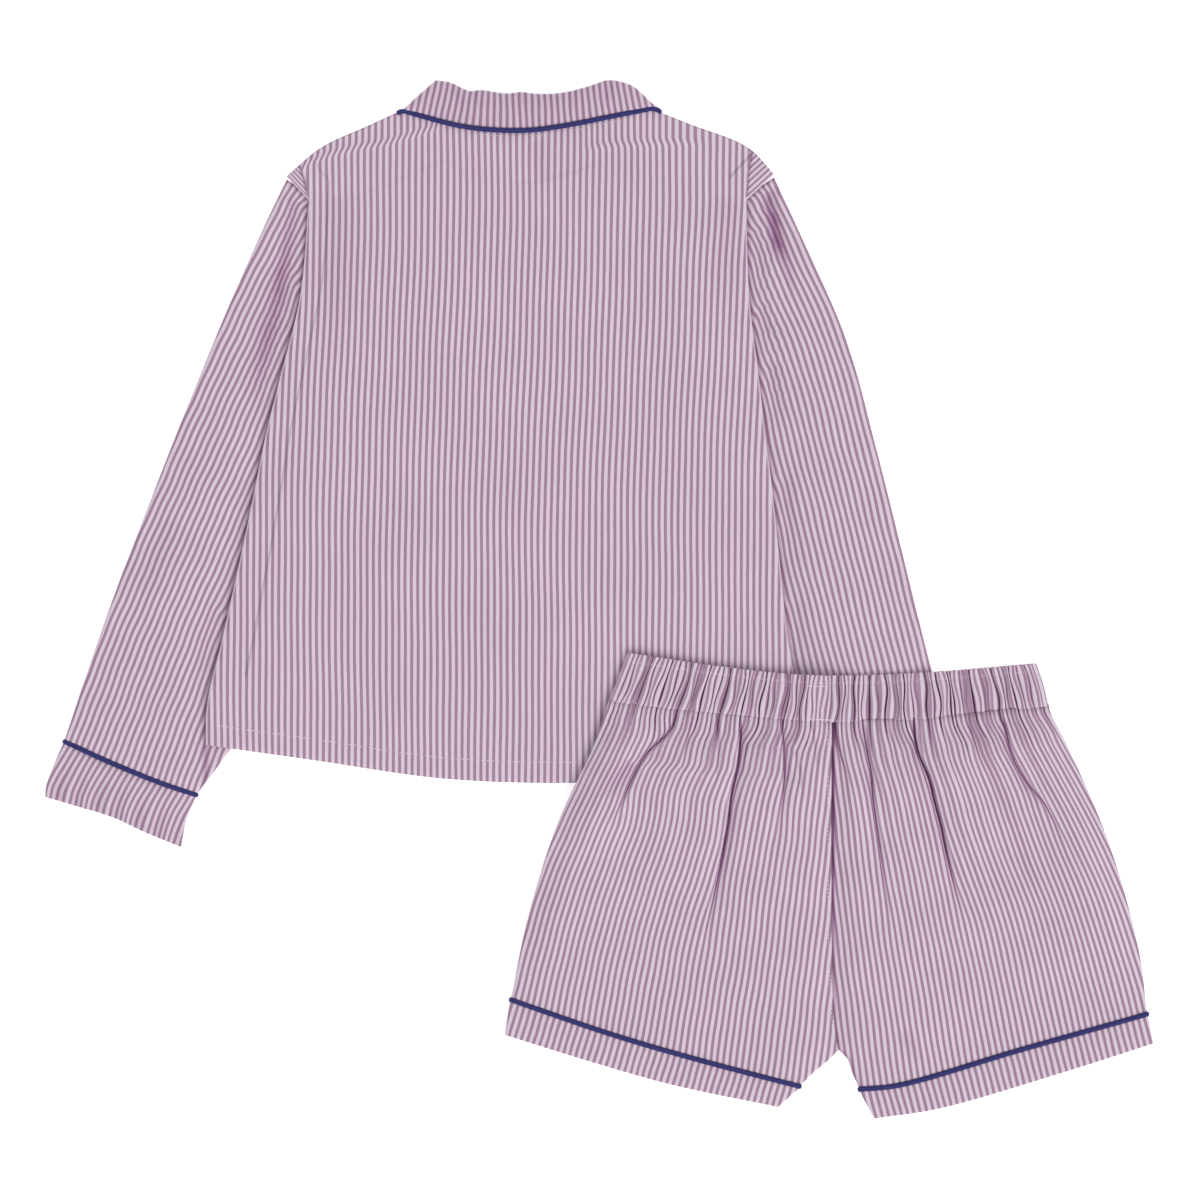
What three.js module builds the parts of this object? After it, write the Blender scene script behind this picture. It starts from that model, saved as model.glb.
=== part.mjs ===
// Striped cotton pyjama set laid flat with its back up: a long-sleeved shirt,
// and shorts over its lower right.
// Millimetres. +X runs to the right of the lay, +Y to the collar and +Z up from the table.
import * as THREE from 'three';

// Cloth and seams
const clothWall = 1;
const seamGap = 0.3;
const foldInset = 1.6;

// How cloth bridges a step in what lies under it
const drapeSlope = 0.2;
const fineMargin = 8;
const panelMargin = 28;
const bodyMargin = 36;
const rampReach = 40;
const heightCell = 2;
const tableReach = 420;

// Trims
const pipingWidth = 3.4;
const pipingRise = 1.2;
const waistbandWall = 1.4;
const gathersAcrossBack = 40;
const gatherRise = 1.4;
const puffRise = 1.2;
const buttonDiameter = 11.5;
const buttonThickness = 2;
const buttonSides = 12;
const buttonCount = 5;
const firstButton = 232;
const buttonSpacing = 77;
const placketLap = 28;

// Room between the layers, highest in the middle of a part
const sleeveLoft = 2;
const bodyLoft = 1.6;
const shortsLoft = 3;
const bandLoft = 1;
const cuffLoft = 0.9;
const cuffWave = 0.5;
const cuffWaveLength = 6;

// Shirt body, a row for each level: y, and x of its left and right side edges
const bodyRows = [
  { y: 279, left: -203, right: 103 },
  { y: 212, left: -209, right: 105 },
  { y: 153, left: -223.5, right: 112 },
  { y: 117, left: -232.5, right: 116 },
  { y: 78, left: -240.5, right: 121 },
  { y: 30, left: -250.5, right: 126 },
  { y: -30, left: -264, right: 132.5 },
  { y: -73, left: -274, right: 141 },
];
const shoulderTip = { left: at(-218.5, 295.5), right: at(122.5, 297) };
const neckPoint = { left: at(-113.5, 353), right: at(10, 353) };
const hemCorner = { left: at(-275, -102), right: at(150, -103.5) };
const hemLevel = -127;
const backNeckDrop = 17;
const frontNeckBottom = 248;
const centreFront = { top: -56.5, hem: -61 };
const lapShare = { left: 0.54, right: 0.47 };

// Edges that are single curves, through a few points each
const shoulder = {
  left: curve(shoulderTip.left, at(-194.5, 315.5), at(-158, 332.5), neckPoint.left),
  right: curve(shoulderTip.right, at(104.5, 315.5), at(62.5, 332.5), neckPoint.right),
};
const hem = curve(
  hemCorner.left, at(-201.5, -112.5), at(-104.5, -126), at(0, -128), at(63.5, -121), hemCorner.right,
);

// Sleeves: head under the armhole seam, outer fold, inner fold that lies under the body, and cuff edges
const sleeveWidth = 110;
const sleevePressed = 8;
const sleeveOpen = 34;
const sleeves = {
  left: {
    head: curve(at(-218.5, 293.5), at(-197.5, 277), at(-196.5, 209.5), at(-188.5, 139.5)),
    outer: curve(
      at(-218.5, 293.5), at(-236, 257), at(-265.5, 189.5), at(-306, 89), at(-344.5, -12), at(-374, -99),
    ),
    inner: curve(at(-188.5, 139.5), at(-164, 97.5), at(-174.5, 41.5), at(-209.5, -28.5), at(-257.5, -104.5),
      at(-281.5, -137)),
    seam: curve(at(-374.3, -99.5), at(-342.5, -114), at(-304.5, -129.5), at(-281.3, -137.3)),
    cuffOuter: curve(at(-374, -99), at(-380, -112.5), at(-386.5, -129.5), at(-387.5, -138.5)),
    cuffInner: curve(at(-281.5, -137), at(-288.5, -154.5), at(-292.5, -173.5)),
    cuffEnd: curve(
      at(-387.5, -138.5), at(-363.5, -145.5), at(-339.5, -153), at(-318, -163), at(-292.5, -173.5),
    ),
  },
  right: {
    head: curve(at(122.5, 295), at(98, 275), at(97, 208), at(87, 139.5)),
    outer: curve(at(122.5, 295), at(144, 248.5), at(173, 181.5), at(194, 105.5), at(219, 5), at(247, -108)),
    inner: curve(at(87, 139.5), at(62, 97.5), at(70, 41.5), at(100, -28.5), at(138, -104.5), at(150.5, -131.5)),
    seam: curve(at(247.3, -108.3), at(215, -115), at(176, -125.5), at(150.2, -132)),
    cuffOuter: curve(at(247, -108), at(253, -128), at(257, -147.5)),
    cuffInner: curve(at(150.5, -131.5), at(156, -152), at(160.5, -172)),
    cuffEnd: curve(at(257, -147.5), at(225, -154), at(190, -163), at(160.5, -172)),
  },
};

// Collar: the neck fold at its top and the piped edge of its fall, then a front leaf on each side
const collarFold = curve(at(-136, 343.5), at(-129.5, 349.5), at(-114, 362.5), at(-104.5, 361.5), at(-90.5, 355),
  at(-65, 353.5), at(-27.5, 354), at(-10.5, 357.5), at(5, 362.5), at(24, 359), at(34.5, 350.5), at(39.5, 345));
const collarEdge = curve(at(-139.5, 340), at(-101.5, 331.5), at(-76.5, 328), at(-51, 327.5), at(-26, 330.5),
  at(24.5, 339), at(43.5, 340.5));
const standFold = curve(at(-111, 359), at(-90.5, 352), at(-52, 350.5), at(-12, 354), at(8, 359));
const leafPoint = 0.6;
const fallEnds = 0.015;
const collarLeaf = {
  left: {
    edge: curve(at(-138, 338), at(-125, 309), at(-107, 282.5), at(-98, 276), at(-66, 269)),
    fold: curve(at(-115, 359), at(-92, 318), at(-66, 273)),
    top: curve(at(-134, 342), at(-115, 359)),
  },
  right: {
    edge: curve(at(42, 338.5), at(25, 309), at(5, 282.5), at(-4, 276), at(-37, 269)),
    fold: curve(at(11, 359), at(-12, 318), at(-37, 273)),
    top: curve(at(38, 343), at(11, 359)),
  },
};

// Shorts
const waistTop = curve(
  at(20, -37.5), at(84, -47), at(136, -52.5), at(168.5, -53.5), at(233, -51), at(306, -45),
);
const waistSeam = curve(
  at(6.5, -71.5), at(54, -77), at(114, -82.5), at(162.5, -86), at(253.5, -82), at(314.5, -75),
);
const shortsLength = 250;
const gathersFaded = 30;
const fullestAt = 40;
const puffsFade = { from: 110, to: 200 };
const hemCloses = 0.6;
const underStep = 5;
const centreBackX = 162.5;
const centreBack = curve(
  at(centreBackX, -86), at(centreBackX, -137), at(163, -238.5), at(164.5, -294.5), at(167.5, -315.5),
);
const legs = {
  left: {
    outer: curve(at(5.5, -75), at(-3.5, -102), at(-28, -154.5), at(-49.5, -222), at(-61.7, -280.5)),
    inner: curve(at(167.5, -315.5), at(161, -322.5), at(150.5, -331), at(140.5, -341)),
    seam: curve(at(-62, -280.3), at(8.5, -304.5), at(64.5, -321), at(140.8, -341.2)),
    hem: curve(at(-66, -305), at(-10, -322.5), at(49.5, -339.5), at(125.5, -355.5)),
    waistHalf: [0, shareAtX(waistSeam, centreBackX - seamGap / 2)],
    centreShift: -seamGap / 2,
    gatherSeed: 0.4,
  },
  right: {
    outer: curve(at(315, -78.5), at(328.5, -104.5), at(357, -171.5), at(378, -247), at(383.5, -290.5)),
    inner: curve(at(167.5, -315.5), at(174.5, -322.5), at(177, -331), at(182.5, -343)),
    seam: curve(at(182, -343.2), at(210.5, -340), at(294.5, -315.5), at(384, -290.3)),
    hem: curve(at(192.5, -363.5), at(238, -356.5), at(325.5, -331), at(388, -311)),
    waistHalf: [shareAtX(waistSeam, centreBackX + seamGap / 2), 1],
    centreShift: seamGap / 2,
    gatherSeed: 1.3,
  },
};

// Creases, a row each: where each starts and ends, its half width and how far it draws the cloth down
const shortsCreases = [
  { x: 54, y: -88, endX: 8.5, endY: -159, spread: 5, draw: 0.9 },
  { x: 98.5, y: -90, endX: 85, endY: -190, spread: 5.5, draw: 1 },
  { x: 127.5, y: -90, endX: 122, endY: -185, spread: 5, draw: 0.9 },
  { x: 187, y: -90, endX: 198, endY: -175, spread: 5, draw: 0.9 },
  { x: 221, y: -90, endX: 243, endY: -185, spread: 5.5, draw: 1 },
  { x: 262, y: -86, endX: 274, endY: -120, spread: 4, draw: 0.7 },
  { x: 284, y: -92, endX: 336, endY: -182, spread: 5, draw: 0.9 },
];
const sleeveCreases = [
  { x: -214, y: 262, endX: -222, endY: 205, spread: 5, draw: 0.8 },
  { x: -228, y: 190, endX: -236, endY: 130, spread: 6, draw: 0.6 },
  { x: 118, y: 268, endX: 130, endY: 205, spread: 5, draw: 0.8 },
  { x: 124, y: 180, endX: 132, endY: 130, spread: 6, draw: 0.6 },
];

// Plan geometry

function at(x, y) {
  return new THREE.Vector3(x, y, 0);
}

function curve(...points) {
  return new THREE.CatmullRomCurve3(points, false, 'centripetal');
}

// A straight run of even shares, 0 to 1
function evenShares(count) {
  return Array.from({ length: count + 1 }, (_, i) => i / count);
}

// Even shares with one more close to each end, where a flattened tube folds round
function foldedShares(count, width) {
  const inset = foldInset / width;
  return [0, ...evenShares(count).map((share) => inset + share * (1 - 2 * inset)), 1];
}

function trace(edge, shares) {
  return shares.map((share) => edge.getPointAt(share));
}

// Points beside a curve, to the left of its run when the distance is positive
function traceBeside(edge, distance, shares) {
  return shares.map((share) => {
    const tangent = edge.getTangentAt(share);
    return edge.getPointAt(share).add(at(-tangent.y, tangent.x).multiplyScalar(distance));
  });
}

// The share of a curve that runs to the right where it reaches an x
function shareAtX(edge, x) {
  let [before, after] = [0, 1];
  while (after - before > 1e-6) {
    const share = (before + after) / 2;
    if (edge.getPointAt(share).x < x) before = share;
    else after = share;
  }
  return before;
}

// Several edges end to end, each with its own count of steps
function chain(...runs) {
  return runs.flatMap(([edge, count], i) => trace(edge, evenShares(count)).slice(i ? 1 : 0));
}

// A net of points between four edges: rows run from the top edge to the bottom edge
function net({
  top, bottom, left, right, across = evenShares(top.length - 1), down = evenShares(left.length - 1),
}) {
  const leftRun = [top[0], ...left.slice(1, -1), bottom[0]];
  const rightRun = [top.at(-1), ...right.slice(1, -1), bottom.at(-1)];
  return down.map((v, j) => across.map((u, i) => at(0, 0)
    .addScaledVector(top[i], 1 - v)
    .addScaledVector(bottom[i], v)
    .addScaledVector(leftRun[j], 1 - u)
    .addScaledVector(rightRun[j], u)
    .addScaledVector(top[0], -(1 - u) * (1 - v))
    .addScaledVector(top.at(-1), -u * (1 - v))
    .addScaledVector(bottom[0], -(1 - u) * v)
    .addScaledVector(bottom.at(-1), -u * v)));
}

// Height of all that lies on the table so far, as the highest surface in each small square cell

const cellsAcross = Math.ceil((2 * tableReach) / heightCell);
const laidHeights = new Float32Array(cellsAcross * cellsAcross);
const cellOf = (distance) => Math.round((distance + tableReach) / heightCell);

function layOnTable(geometry) {
  const position = geometry.getAttribute('position');
  const corner = [0, 1, 2].map(() => new THREE.Vector3());
  for (let t = 0; t < geometry.index.count; t += 3) {
    corner.forEach((c, k) => c.fromBufferAttribute(position, geometry.index.getX(t + k)));
    const [a, b, c] = corner;
    const area = (b.x - a.x) * (c.y - a.y) - (c.x - a.x) * (b.y - a.y);
    if (Math.abs(area) < 1e-6) continue;
    const xs = corner.map((p) => p.x);
    const ys = corner.map((p) => p.y);
    for (let row = cellOf(Math.min(...ys)); row <= cellOf(Math.max(...ys)); row += 1) {
      for (let column = cellOf(Math.min(...xs)); column <= cellOf(Math.max(...xs)); column += 1) {
        const x = column * heightCell - tableReach;
        const y = row * heightCell - tableReach;
        const shareB = ((x - a.x) * (c.y - a.y) - (c.x - a.x) * (y - a.y)) / area;
        const shareC = ((b.x - a.x) * (y - a.y) - (x - a.x) * (b.y - a.y)) / area;
        if (shareB < 0 || shareC < 0 || shareB + shareC > 1) continue;
        const height = a.z + shareB * (b.z - a.z) + shareC * (c.z - a.z);
        const cell = row * cellsAcross + column;
        laidHeights[cell] = Math.max(laidHeights[cell], height);
      }
    }
  }
}

// Lowest height at which cloth clears what is under it, with ramps no steeper than the drape slope.
// The margin is how far level cloth runs past a step, about half a cell of the net that lies on it.
function restingHeight(x, y, margin) {
  const cells = Math.ceil((margin + rampReach) / heightCell);
  const row = cellOf(y);
  const column = cellOf(x);
  let height = 0;
  for (let dRow = -cells; dRow <= cells; dRow += 1) {
    for (let dColumn = -cells; dColumn <= cells; dColumn += 1) {
      const laid = laidHeights[(row + dRow) * cellsAcross + column + dColumn];
      if (!(laid > height)) continue;
      const beyondMargin = Math.max(0, Math.hypot(dRow, dColumn) * heightCell - margin);
      height = Math.max(height, laid + seamGap - drapeSlope * beyondMargin);
    }
  }
  return height;
}

// Closed walls

function wallGeometry(vertices, triangles) {
  const geometry = new THREE.BufferGeometry();
  geometry.setAttribute('position', new THREE.Float32BufferAttribute(vertices.flat(), 3));
  let volume = 0;
  for (const [a, b, c] of triangles) {
    const [p, q, r] = [a, b, c].map((i) => new THREE.Vector3(...vertices[i]));
    volume += p.dot(q.cross(r));
  }
  const facing = volume < 0 ? triangles.map(([a, b, c]) => [a, c, b]) : triangles;
  geometry.setIndex(facing.flat());
  geometry.computeVertexNormals();
  return geometry;
}

// Joins two runs of vertices that follow the same line with different steps
function zipRuns(triangles, first, second) {
  let i = 0;
  let j = 0;
  while (i < first.length - 1 || j < second.length - 1) {
    const nextFirst = i < first.length - 1 ? first[i + 1].share : Infinity;
    const nextSecond = j < second.length - 1 ? second[j + 1].share : Infinity;
    if (nextFirst <= nextSecond) {
      triangles.push([first[i].id, first[i + 1].id, second[j].id]);
      i += 1;
    } else {
      triangles.push([first[i].id, second[j + 1].id, second[j].id]);
      j += 1;
    }
  }
}

function joinRows(triangles, rowsOfIds, turned) {
  for (let j = 0; j < rowsOfIds.length - 1; j += 1) {
    for (let i = 0; i < rowsOfIds[j].length - 1; i += 1) {
      const a = rowsOfIds[j][i].id;
      const b = rowsOfIds[j][i + 1].id;
      const c = rowsOfIds[j + 1][i + 1].id;
      const d = rowsOfIds[j + 1][i].id;
      if (turned) triangles.push([a, c, b], [a, d, c]);
      else triangles.push([a, b, c], [a, c, d]);
    }
  }
}

// One layer of cloth over a net. Its top may carry relief over an underside with fewer columns.
function layer(points, { loft = () => 0, relief = () => 0, underStep = 1, margin = fineMargin } = {}) {
  const vertices = [];
  const triangles = [];
  const addRows = (step, height) => points.map((row, j) => row.flatMap((p, i) => {
    if (i % step && i < row.length - 1) return [];
    vertices.push([p.x, p.y, height(p, i, j)]);
    return [{ id: vertices.length - 1, share: i }];
  }));
  const underside = (p, i, j) => restingHeight(p.x, p.y, margin) + loft(p, i, j);
  const under = addRows(underStep, underside);
  const over = addRows(1, (p, i, j) => underside(p, i, j) + clothWall + relief(p, i, j));
  joinRows(triangles, over, false);
  joinRows(triangles, under, true);
  zipRuns(triangles, under[0], over[0]);
  zipRuns(triangles, over.at(-1), under.at(-1));
  const side = (rows, i) => rows.map((row, j) => ({ id: row.at(i).id, share: j }));
  zipRuns(triangles, side(over, 0), side(under, 0));
  zipRuns(triangles, side(under, -1), side(over, -1));
  return wallGeometry(vertices, triangles);
}

// A flattened tube over a net whose first and last columns are its folds.
// The half that faces up may carry relief over a plain inside, and the other half has fewer columns.
function flatTube(points, options = {}) {
  const { wall = clothWall, loft = () => 0, relief = () => 0, plainStep = 1, margin = fineMargin } = options;
  const vertices = [];
  const triangles = [];
  const last = points[0].length - 1;
  const plainColumns = points[0].map((_, i) => i).filter((i) => i === 1 || i === last - 1
    || (i > 1 && i < last - 1 && (i - 1) % plainStep === 0));
  const fineColumns = points[0].map((_, i) => i).slice(1, -1);
  const outerLoops = [];
  const innerLoops = [];
  points.forEach((row, j) => {
    const floor = row.map((p) => restingHeight(p.x, p.y, margin));
    const room = row.map((p, i) => seamGap + loft(p, i, j));
    const tip = (i, next, inset) => {
      const p = row[i].clone().lerp(row[next], inset / row[i].distanceTo(row[next]));
      return [p.x, p.y, floor[i] + wall + seamGap / 2];
    };
    const lift = (columns, height) => columns.map((i) => [i, [row[i].x, row[i].y, height(i)]]);
    const loop = (upper, lower, inset) => {
      const around = [
        [0, tip(0, 1, inset)],
        ...upper,
        [last, tip(last, last - 1, inset)],
        ...lower.reverse().map(([i, vertex]) => [2 * last - i, vertex]),
      ];
      const ids = around.map(([share, vertex]) => {
        vertices.push(vertex);
        return { id: vertices.length - 1, share };
      });
      return [...ids, { id: ids[0].id, share: 2 * last }];
    };
    outerLoops.push(loop(
      lift(fineColumns, (i) => floor[i] + 2 * wall + room[i] + relief(row[i], i, j)),
      lift(plainColumns, (i) => floor[i]),
      0,
    ));
    innerLoops.push(loop(
      lift(plainColumns, (i) => floor[i] + wall + room[i]),
      lift(plainColumns, (i) => floor[i] + wall),
      wall,
    ));
  });
  joinRows(triangles, outerLoops, false);
  joinRows(triangles, innerLoops, true);
  zipRuns(triangles, innerLoops[0], outerLoops[0]);
  zipRuns(triangles, outerLoops.at(-1), innerLoops.at(-1));
  return wallGeometry(vertices, triangles);
}

// Named pieces

const pyjamaSet = new THREE.Group();

const looks = {
  stripedPoplin: { color: '#c0a9bc', roughness: 0.85, metalness: 0 },
  navyPiping: { color: '#302e5e', roughness: 0.55, metalness: 0 },
  resinButton: { color: '#e9e3ea', roughness: 0.3, metalness: 0 },
};

function addPiece(name, look, geometry) {
  const mesh = new THREE.Mesh(geometry, new THREE.MeshStandardMaterial(looks[look]));
  mesh.name = name;
  pyjamaSet.add(mesh);
  return geometry;
}

// Pieces of one layer rest on those laid before it, and are laid together
function layTogether(pieces) {
  pieces.forEach(layOnTable);
}

function smoothRise(from, to, value) {
  return THREE.MathUtils.smoothstep(value, from, to);
}

// 0 at the folds of a flattened tube and beside them, 1 between
function betweenFolds(i, columns) {
  return i > 1 && i < columns.length - 2 ? 1 : 0;
}

// Share of its fullness that cloth keeps at a point beside the creases, 0 in the deepest of them
function fullness(creases, p) {
  const drawn = creases.reduce((sum, crease) => {
    const run = new THREE.Line3(at(crease.x, crease.y), at(crease.endX, crease.endY));
    const share = run.closestPointToPointParameter(p, true);
    const distance = p.distanceTo(run.at(share, new THREE.Vector3()));
    return sum + crease.draw * (1 - 0.7 * share * share) * Math.exp(-((distance / crease.spread) ** 2));
  }, 0);
  return Math.max(0, 1 - drawn);
}

// Cord in a seam: a narrow strip along it whose top is rounded
const cordAcross = [-1, -0.6, 0, 0.6, 1];

function cordRise(share) {
  return pipingRise * Math.sqrt(1 - share * share);
}

function cordRuns(edge, shares) {
  return cordAcross.map((share) => traceBeside(edge, (share * pipingWidth) / 2, shares));
}

function pipingStrip(edge, steps) {
  const runs = cordRuns(edge, evenShares(steps));
  const points = runs[0].map((_, j) => runs.map((run) => run[j]));
  return layer(points, { relief: (p, i) => cordRise(cordAcross[i]) });
}

function pipingRing(edge, columns, loft) {
  return flatTube(cordRuns(edge, columns), { loft, relief: (p, i, j) => cordRise(cordAcross[j]) });
}

const besidePiping = pipingWidth / 2 + seamGap;

// Buttons face the table, under the lap of the fronts
function buttonGeometry() {
  const profile = [[0, 0], [0.42, 0], [0.5, 0.25], [0.5, 0.75], [0.42, 1], [0.32, 0.8], [0, 0.8]];
  const points = profile.map(([radius, height]) =>
    new THREE.Vector2(radius * buttonDiameter, height * buttonThickness));
  return new THREE.LatheGeometry(points, buttonSides).rotateX(Math.PI / 2);
}

function centreFrontAt(y) {
  return THREE.MathUtils.mapLinear(y, frontNeckBottom, hemCorner.left.y, centreFront.top, centreFront.hem);
}

const buttons = Array.from({ length: buttonCount }, (_, i) => {
  const y = firstButton - i * buttonSpacing;
  return addPiece(`button_${i + 1}`, 'resinButton', buttonGeometry().translate(centreFrontAt(y), y, 0));
});

// Collar leaves and their piping lie face down under the fronts
const collarLeaves = ['left', 'right'].flatMap((side) => {
  const inward = side === 'left' ? besidePiping : -besidePiping;
  const { edge, fold, top } = collarLeaf[side];
  const leaf = layer(net({
    top: trace(top, evenShares(4)),
    bottom: traceBeside(edge, inward, evenShares(4).map((share) => leafPoint + (1 - leafPoint) * share)),
    left: traceBeside(edge, inward, evenShares(6).map((share) => leafPoint * share)),
    right: trace(fold, evenShares(6)),
  }));
  return [
    addPiece(`collar_leaf_${side}`, 'stripedPoplin', leaf),
    addPiece(`collar_piping_${side}`, 'navyPiping', pipingStrip(edge, 10)),
  ];
});

// Sleeves, cuffs and the piping between them
function clearOfBody(side, p) {
  const lower = bodyRows.findIndex((row) => row.y < p.y);
  const below = bodyRows[Math.max(1, lower < 0 ? bodyRows.length - 1 : lower)];
  const above = bodyRows[bodyRows.indexOf(below) - 1];
  const y = THREE.MathUtils.clamp(p.y, below.y, above.y);
  const edgeX = THREE.MathUtils.mapLinear(y, above.y, below.y, above[side], below[side]);
  return side === 'left' ? edgeX - p.x : p.x - edgeX;
}

const sleevePieces = Object.entries(sleeves).flatMap(([side, sleeve]) => {
  const across = foldedShares(7, sleeveWidth);
  const sleeveRows = evenShares(12);
  const cuffRows = evenShares(3);
  const towardSleeve = side === 'left' ? besidePiping : -besidePiping;
  const room = (p, i) => {
    const open = smoothRise(sleevePressed, sleeveOpen, clearOfBody(side, p)) * betweenFolds(i, across);
    return sleeveLoft * open * fullness(sleeveCreases, p);
  };
  const sleeveNet = net({
    top: trace(sleeve.head, across),
    bottom: traceBeside(sleeve.seam, towardSleeve, across),
    left: trace(sleeve.outer, sleeveRows),
    right: trace(sleeve.inner, sleeveRows),
    across,
  });
  const cuffNet = net({
    top: traceBeside(sleeve.seam, -towardSleeve, across),
    bottom: trace(sleeve.cuffEnd, across),
    left: trace(sleeve.cuffOuter, cuffRows),
    right: trace(sleeve.cuffInner, cuffRows),
    across,
  });
  const cuffRoom = (p, i) => betweenFolds(i, across) * (cuffLoft + cuffWave * Math.sin(p.x / cuffWaveLength));
  return [
    addPiece(`sleeve_${side}`, 'stripedPoplin', flatTube(sleeveNet, { loft: room })),
    addPiece(`cuff_piping_${side}`, 'navyPiping', pipingRing(sleeve.seam, across, room)),
    addPiece(`cuff_${side}`, 'stripedPoplin', flatTube(cuffNet, { loft: cuffRoom })),
  ];
});
layTogether([...buttons, ...collarLeaves, ...sleevePieces]);

// Shirt body: two lapped fronts, then the back over them
function sideEdge(side) {
  return [
    [curve(shoulderTip[side], at(bodyRows[0][side], bodyRows[0].y)), 1],
    [curve(...bodyRows.map((row) => at(row[side], row.y)), hemCorner[side]), 14],
  ];
}

function addFront(side) {
  const lap = side === 'left' ? placketLap / 2 : -placketLap / 2;
  const edge = curve(at(centreFront.top + lap, frontNeckBottom), at(centreFront.hem + lap, hemLevel));
  const hemShares = side === 'left' ? [0, lapShare.left] : [1, lapShare.right];
  const columns = evenShares(10);
  return addPiece(`front_${side}`, 'stripedPoplin', layer(net({
    top: trace(shoulder[side], columns),
    bottom: trace(hem, columns.map((share) => THREE.MathUtils.lerp(...hemShares, share))),
    left: chain(...sideEdge(side)),
    right: chain([curve(neckPoint[side], edge.getPoint(0)), 4], [edge, 11]),
  }), { margin: bodyMargin }));
}

layTogether([addFront('right')]);
layTogether([addFront('left')]);

const backNeck = curve(
  neckPoint.left,
  at(-83.5, 341),
  at(-52, neckPoint.left.y - backNeckDrop),
  at(-20.5, 341),
  neckPoint.right,
);
const shoulderColumns = evenShares(5);
const backTop = [
  ...trace(shoulder.left, shoulderColumns),
  ...trace(backNeck, evenShares(8)).slice(1),
  ...trace(shoulder.right, shoulderColumns).reverse().slice(1),
];
const backNet = net({
  top: backTop,
  bottom: trace(hem, evenShares(backTop.length - 1)),
  left: chain(...sideEdge('left')),
  right: chain(...sideEdge('right')),
});
const back = addPiece('back', 'stripedPoplin', layer(backNet, {
  margin: bodyMargin,
  loft: (p, i, j) => bodyLoft * smoothRise(0, 3, Math.min(i, backTop.length - 1 - i))
    * smoothRise(0, 2, Math.min(j, backNet.length - 1 - j)),
}));

// Collar at the back neck: the stand rises from the neck seam, and the fall turns down over it
const standSteps = evenShares(12);
const standTop = trace(standFold, standSteps);
const standFoot = traceBeside(backNeck, seamGap, standSteps);
const collarStand = addPiece('collar_stand', 'stripedPoplin', layer([standTop, standFoot]));
layTogether([back, collarStand]);

const fallColumns = evenShares(22);
const fallRows = evenShares(3);
const fallTop = trace(collarFold, fallColumns);
const fallFoot = traceBeside(collarEdge, besidePiping, fallColumns.map((share) =>
  THREE.MathUtils.lerp(fallEnds, 1 - fallEnds, share)));
const collarFall = addPiece('collar_fall', 'stripedPoplin', layer(net({
  top: fallTop,
  bottom: fallFoot,
  left: trace(curve(fallTop[0], fallFoot[0]), fallRows),
  right: trace(curve(fallTop.at(-1), fallFoot.at(-1)), fallRows),
})));
const collarPiping = addPiece('collar_piping_back', 'navyPiping', pipingStrip(collarEdge, 22));
layTogether([collarFall, collarPiping]);

// Uneven gathers: each has a crest between two valleys, at shares of the waist
const gatherWander = { by: 0.32, turn: 2.4 };
const gatherCrest = { mean: 0.72, by: 0.28, turn: 1.7 };
const gatherFades = { mean: 26, by: 18, turn: 0.9 };

function gathers(count, seed) {
  const steps = 2 * count;
  const uneven = (k, { mean = 0, by, turn }) => mean + by * Math.sin(k * turn + seed);
  return Array.from({ length: steps + 1 }, (_, k) => ({
    share: (k + (k % steps ? uneven(k, gatherWander) : 0)) / steps,
    crest: k % 2 ? uneven(k, gatherCrest) : 0,
    length: uneven(k, gatherFades),
  }));
}

// Waistband: a row for each level of its casing, from its top edge to its seam,
// and how full the cloth stands there
const casingRows = [
  { down: 0, puff: 0.55 },
  { down: 0.18, puff: 0.35 },
  { down: 0.45, puff: 1 },
  { down: 0.75, puff: 0.9 },
  { down: 1, puff: 0.3 },
];
const bandGathers = gathers(gathersAcrossBack, 0.4);
const bandInset = foldInset / waistSeam.getLength();
const bandAcross = [0, ...bandGathers.map(({ share }) => bandInset + share * (1 - 2 * bandInset)), 1];
const bandDown = casingRows.map(({ down }) => down);
addPiece('waistband', 'stripedPoplin', flatTube(net({
  top: trace(waistTop, bandAcross),
  bottom: trace(waistSeam, bandAcross),
  left: trace(curve(waistTop.getPoint(0), at(12, -58), waistSeam.getPoint(0)), bandDown),
  right: trace(curve(waistTop.getPoint(1), at(311, -60), waistSeam.getPoint(1)), bandDown),
  across: bandAcross,
  down: bandDown,
}), {
  wall: waistbandWall,
  plainStep: underStep,
  margin: panelMargin,
  loft: (p, i) => bandLoft * betweenFolds(i, bandAcross),
  relief: (p, i, j) => gatherRise * casingRows[j].puff * (bandGathers[i - 1]?.crest ?? 0),
}));

// Legs of the shorts: the piping and the turned-up band, flattened rings on the table
for (const [side, leg] of Object.entries(legs)) {
  const across = foldedShares(9, leg.seam.getLength());
  const down = evenShares(2);
  const room = (p, i) => bandLoft * betweenFolds(i, across);
  const bandTop = traceBeside(leg.seam, -besidePiping, across);
  const bandHem = trace(leg.hem, across);
  addPiece(`leg_piping_${side}`, 'navyPiping', pipingRing(leg.seam, across, room));
  addPiece(`leg_band_${side}`, 'stripedPoplin', flatTube(net({
    top: bandTop,
    bottom: bandHem,
    left: trace(curve(bandTop[0], bandHem[0]), down),
    right: trace(curve(bandTop.at(-1), bandHem.at(-1)), down),
    across,
  }), { loft: room }));
}

// Panels of the shorts: shares of their length down, with more rows where the gathers fade
const panelDown = [0, 0.03, 0.08, 0.15, 0.25, 0.38, 0.54, 0.7, 0.85, 1];
const crotchRow = 7;

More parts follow.
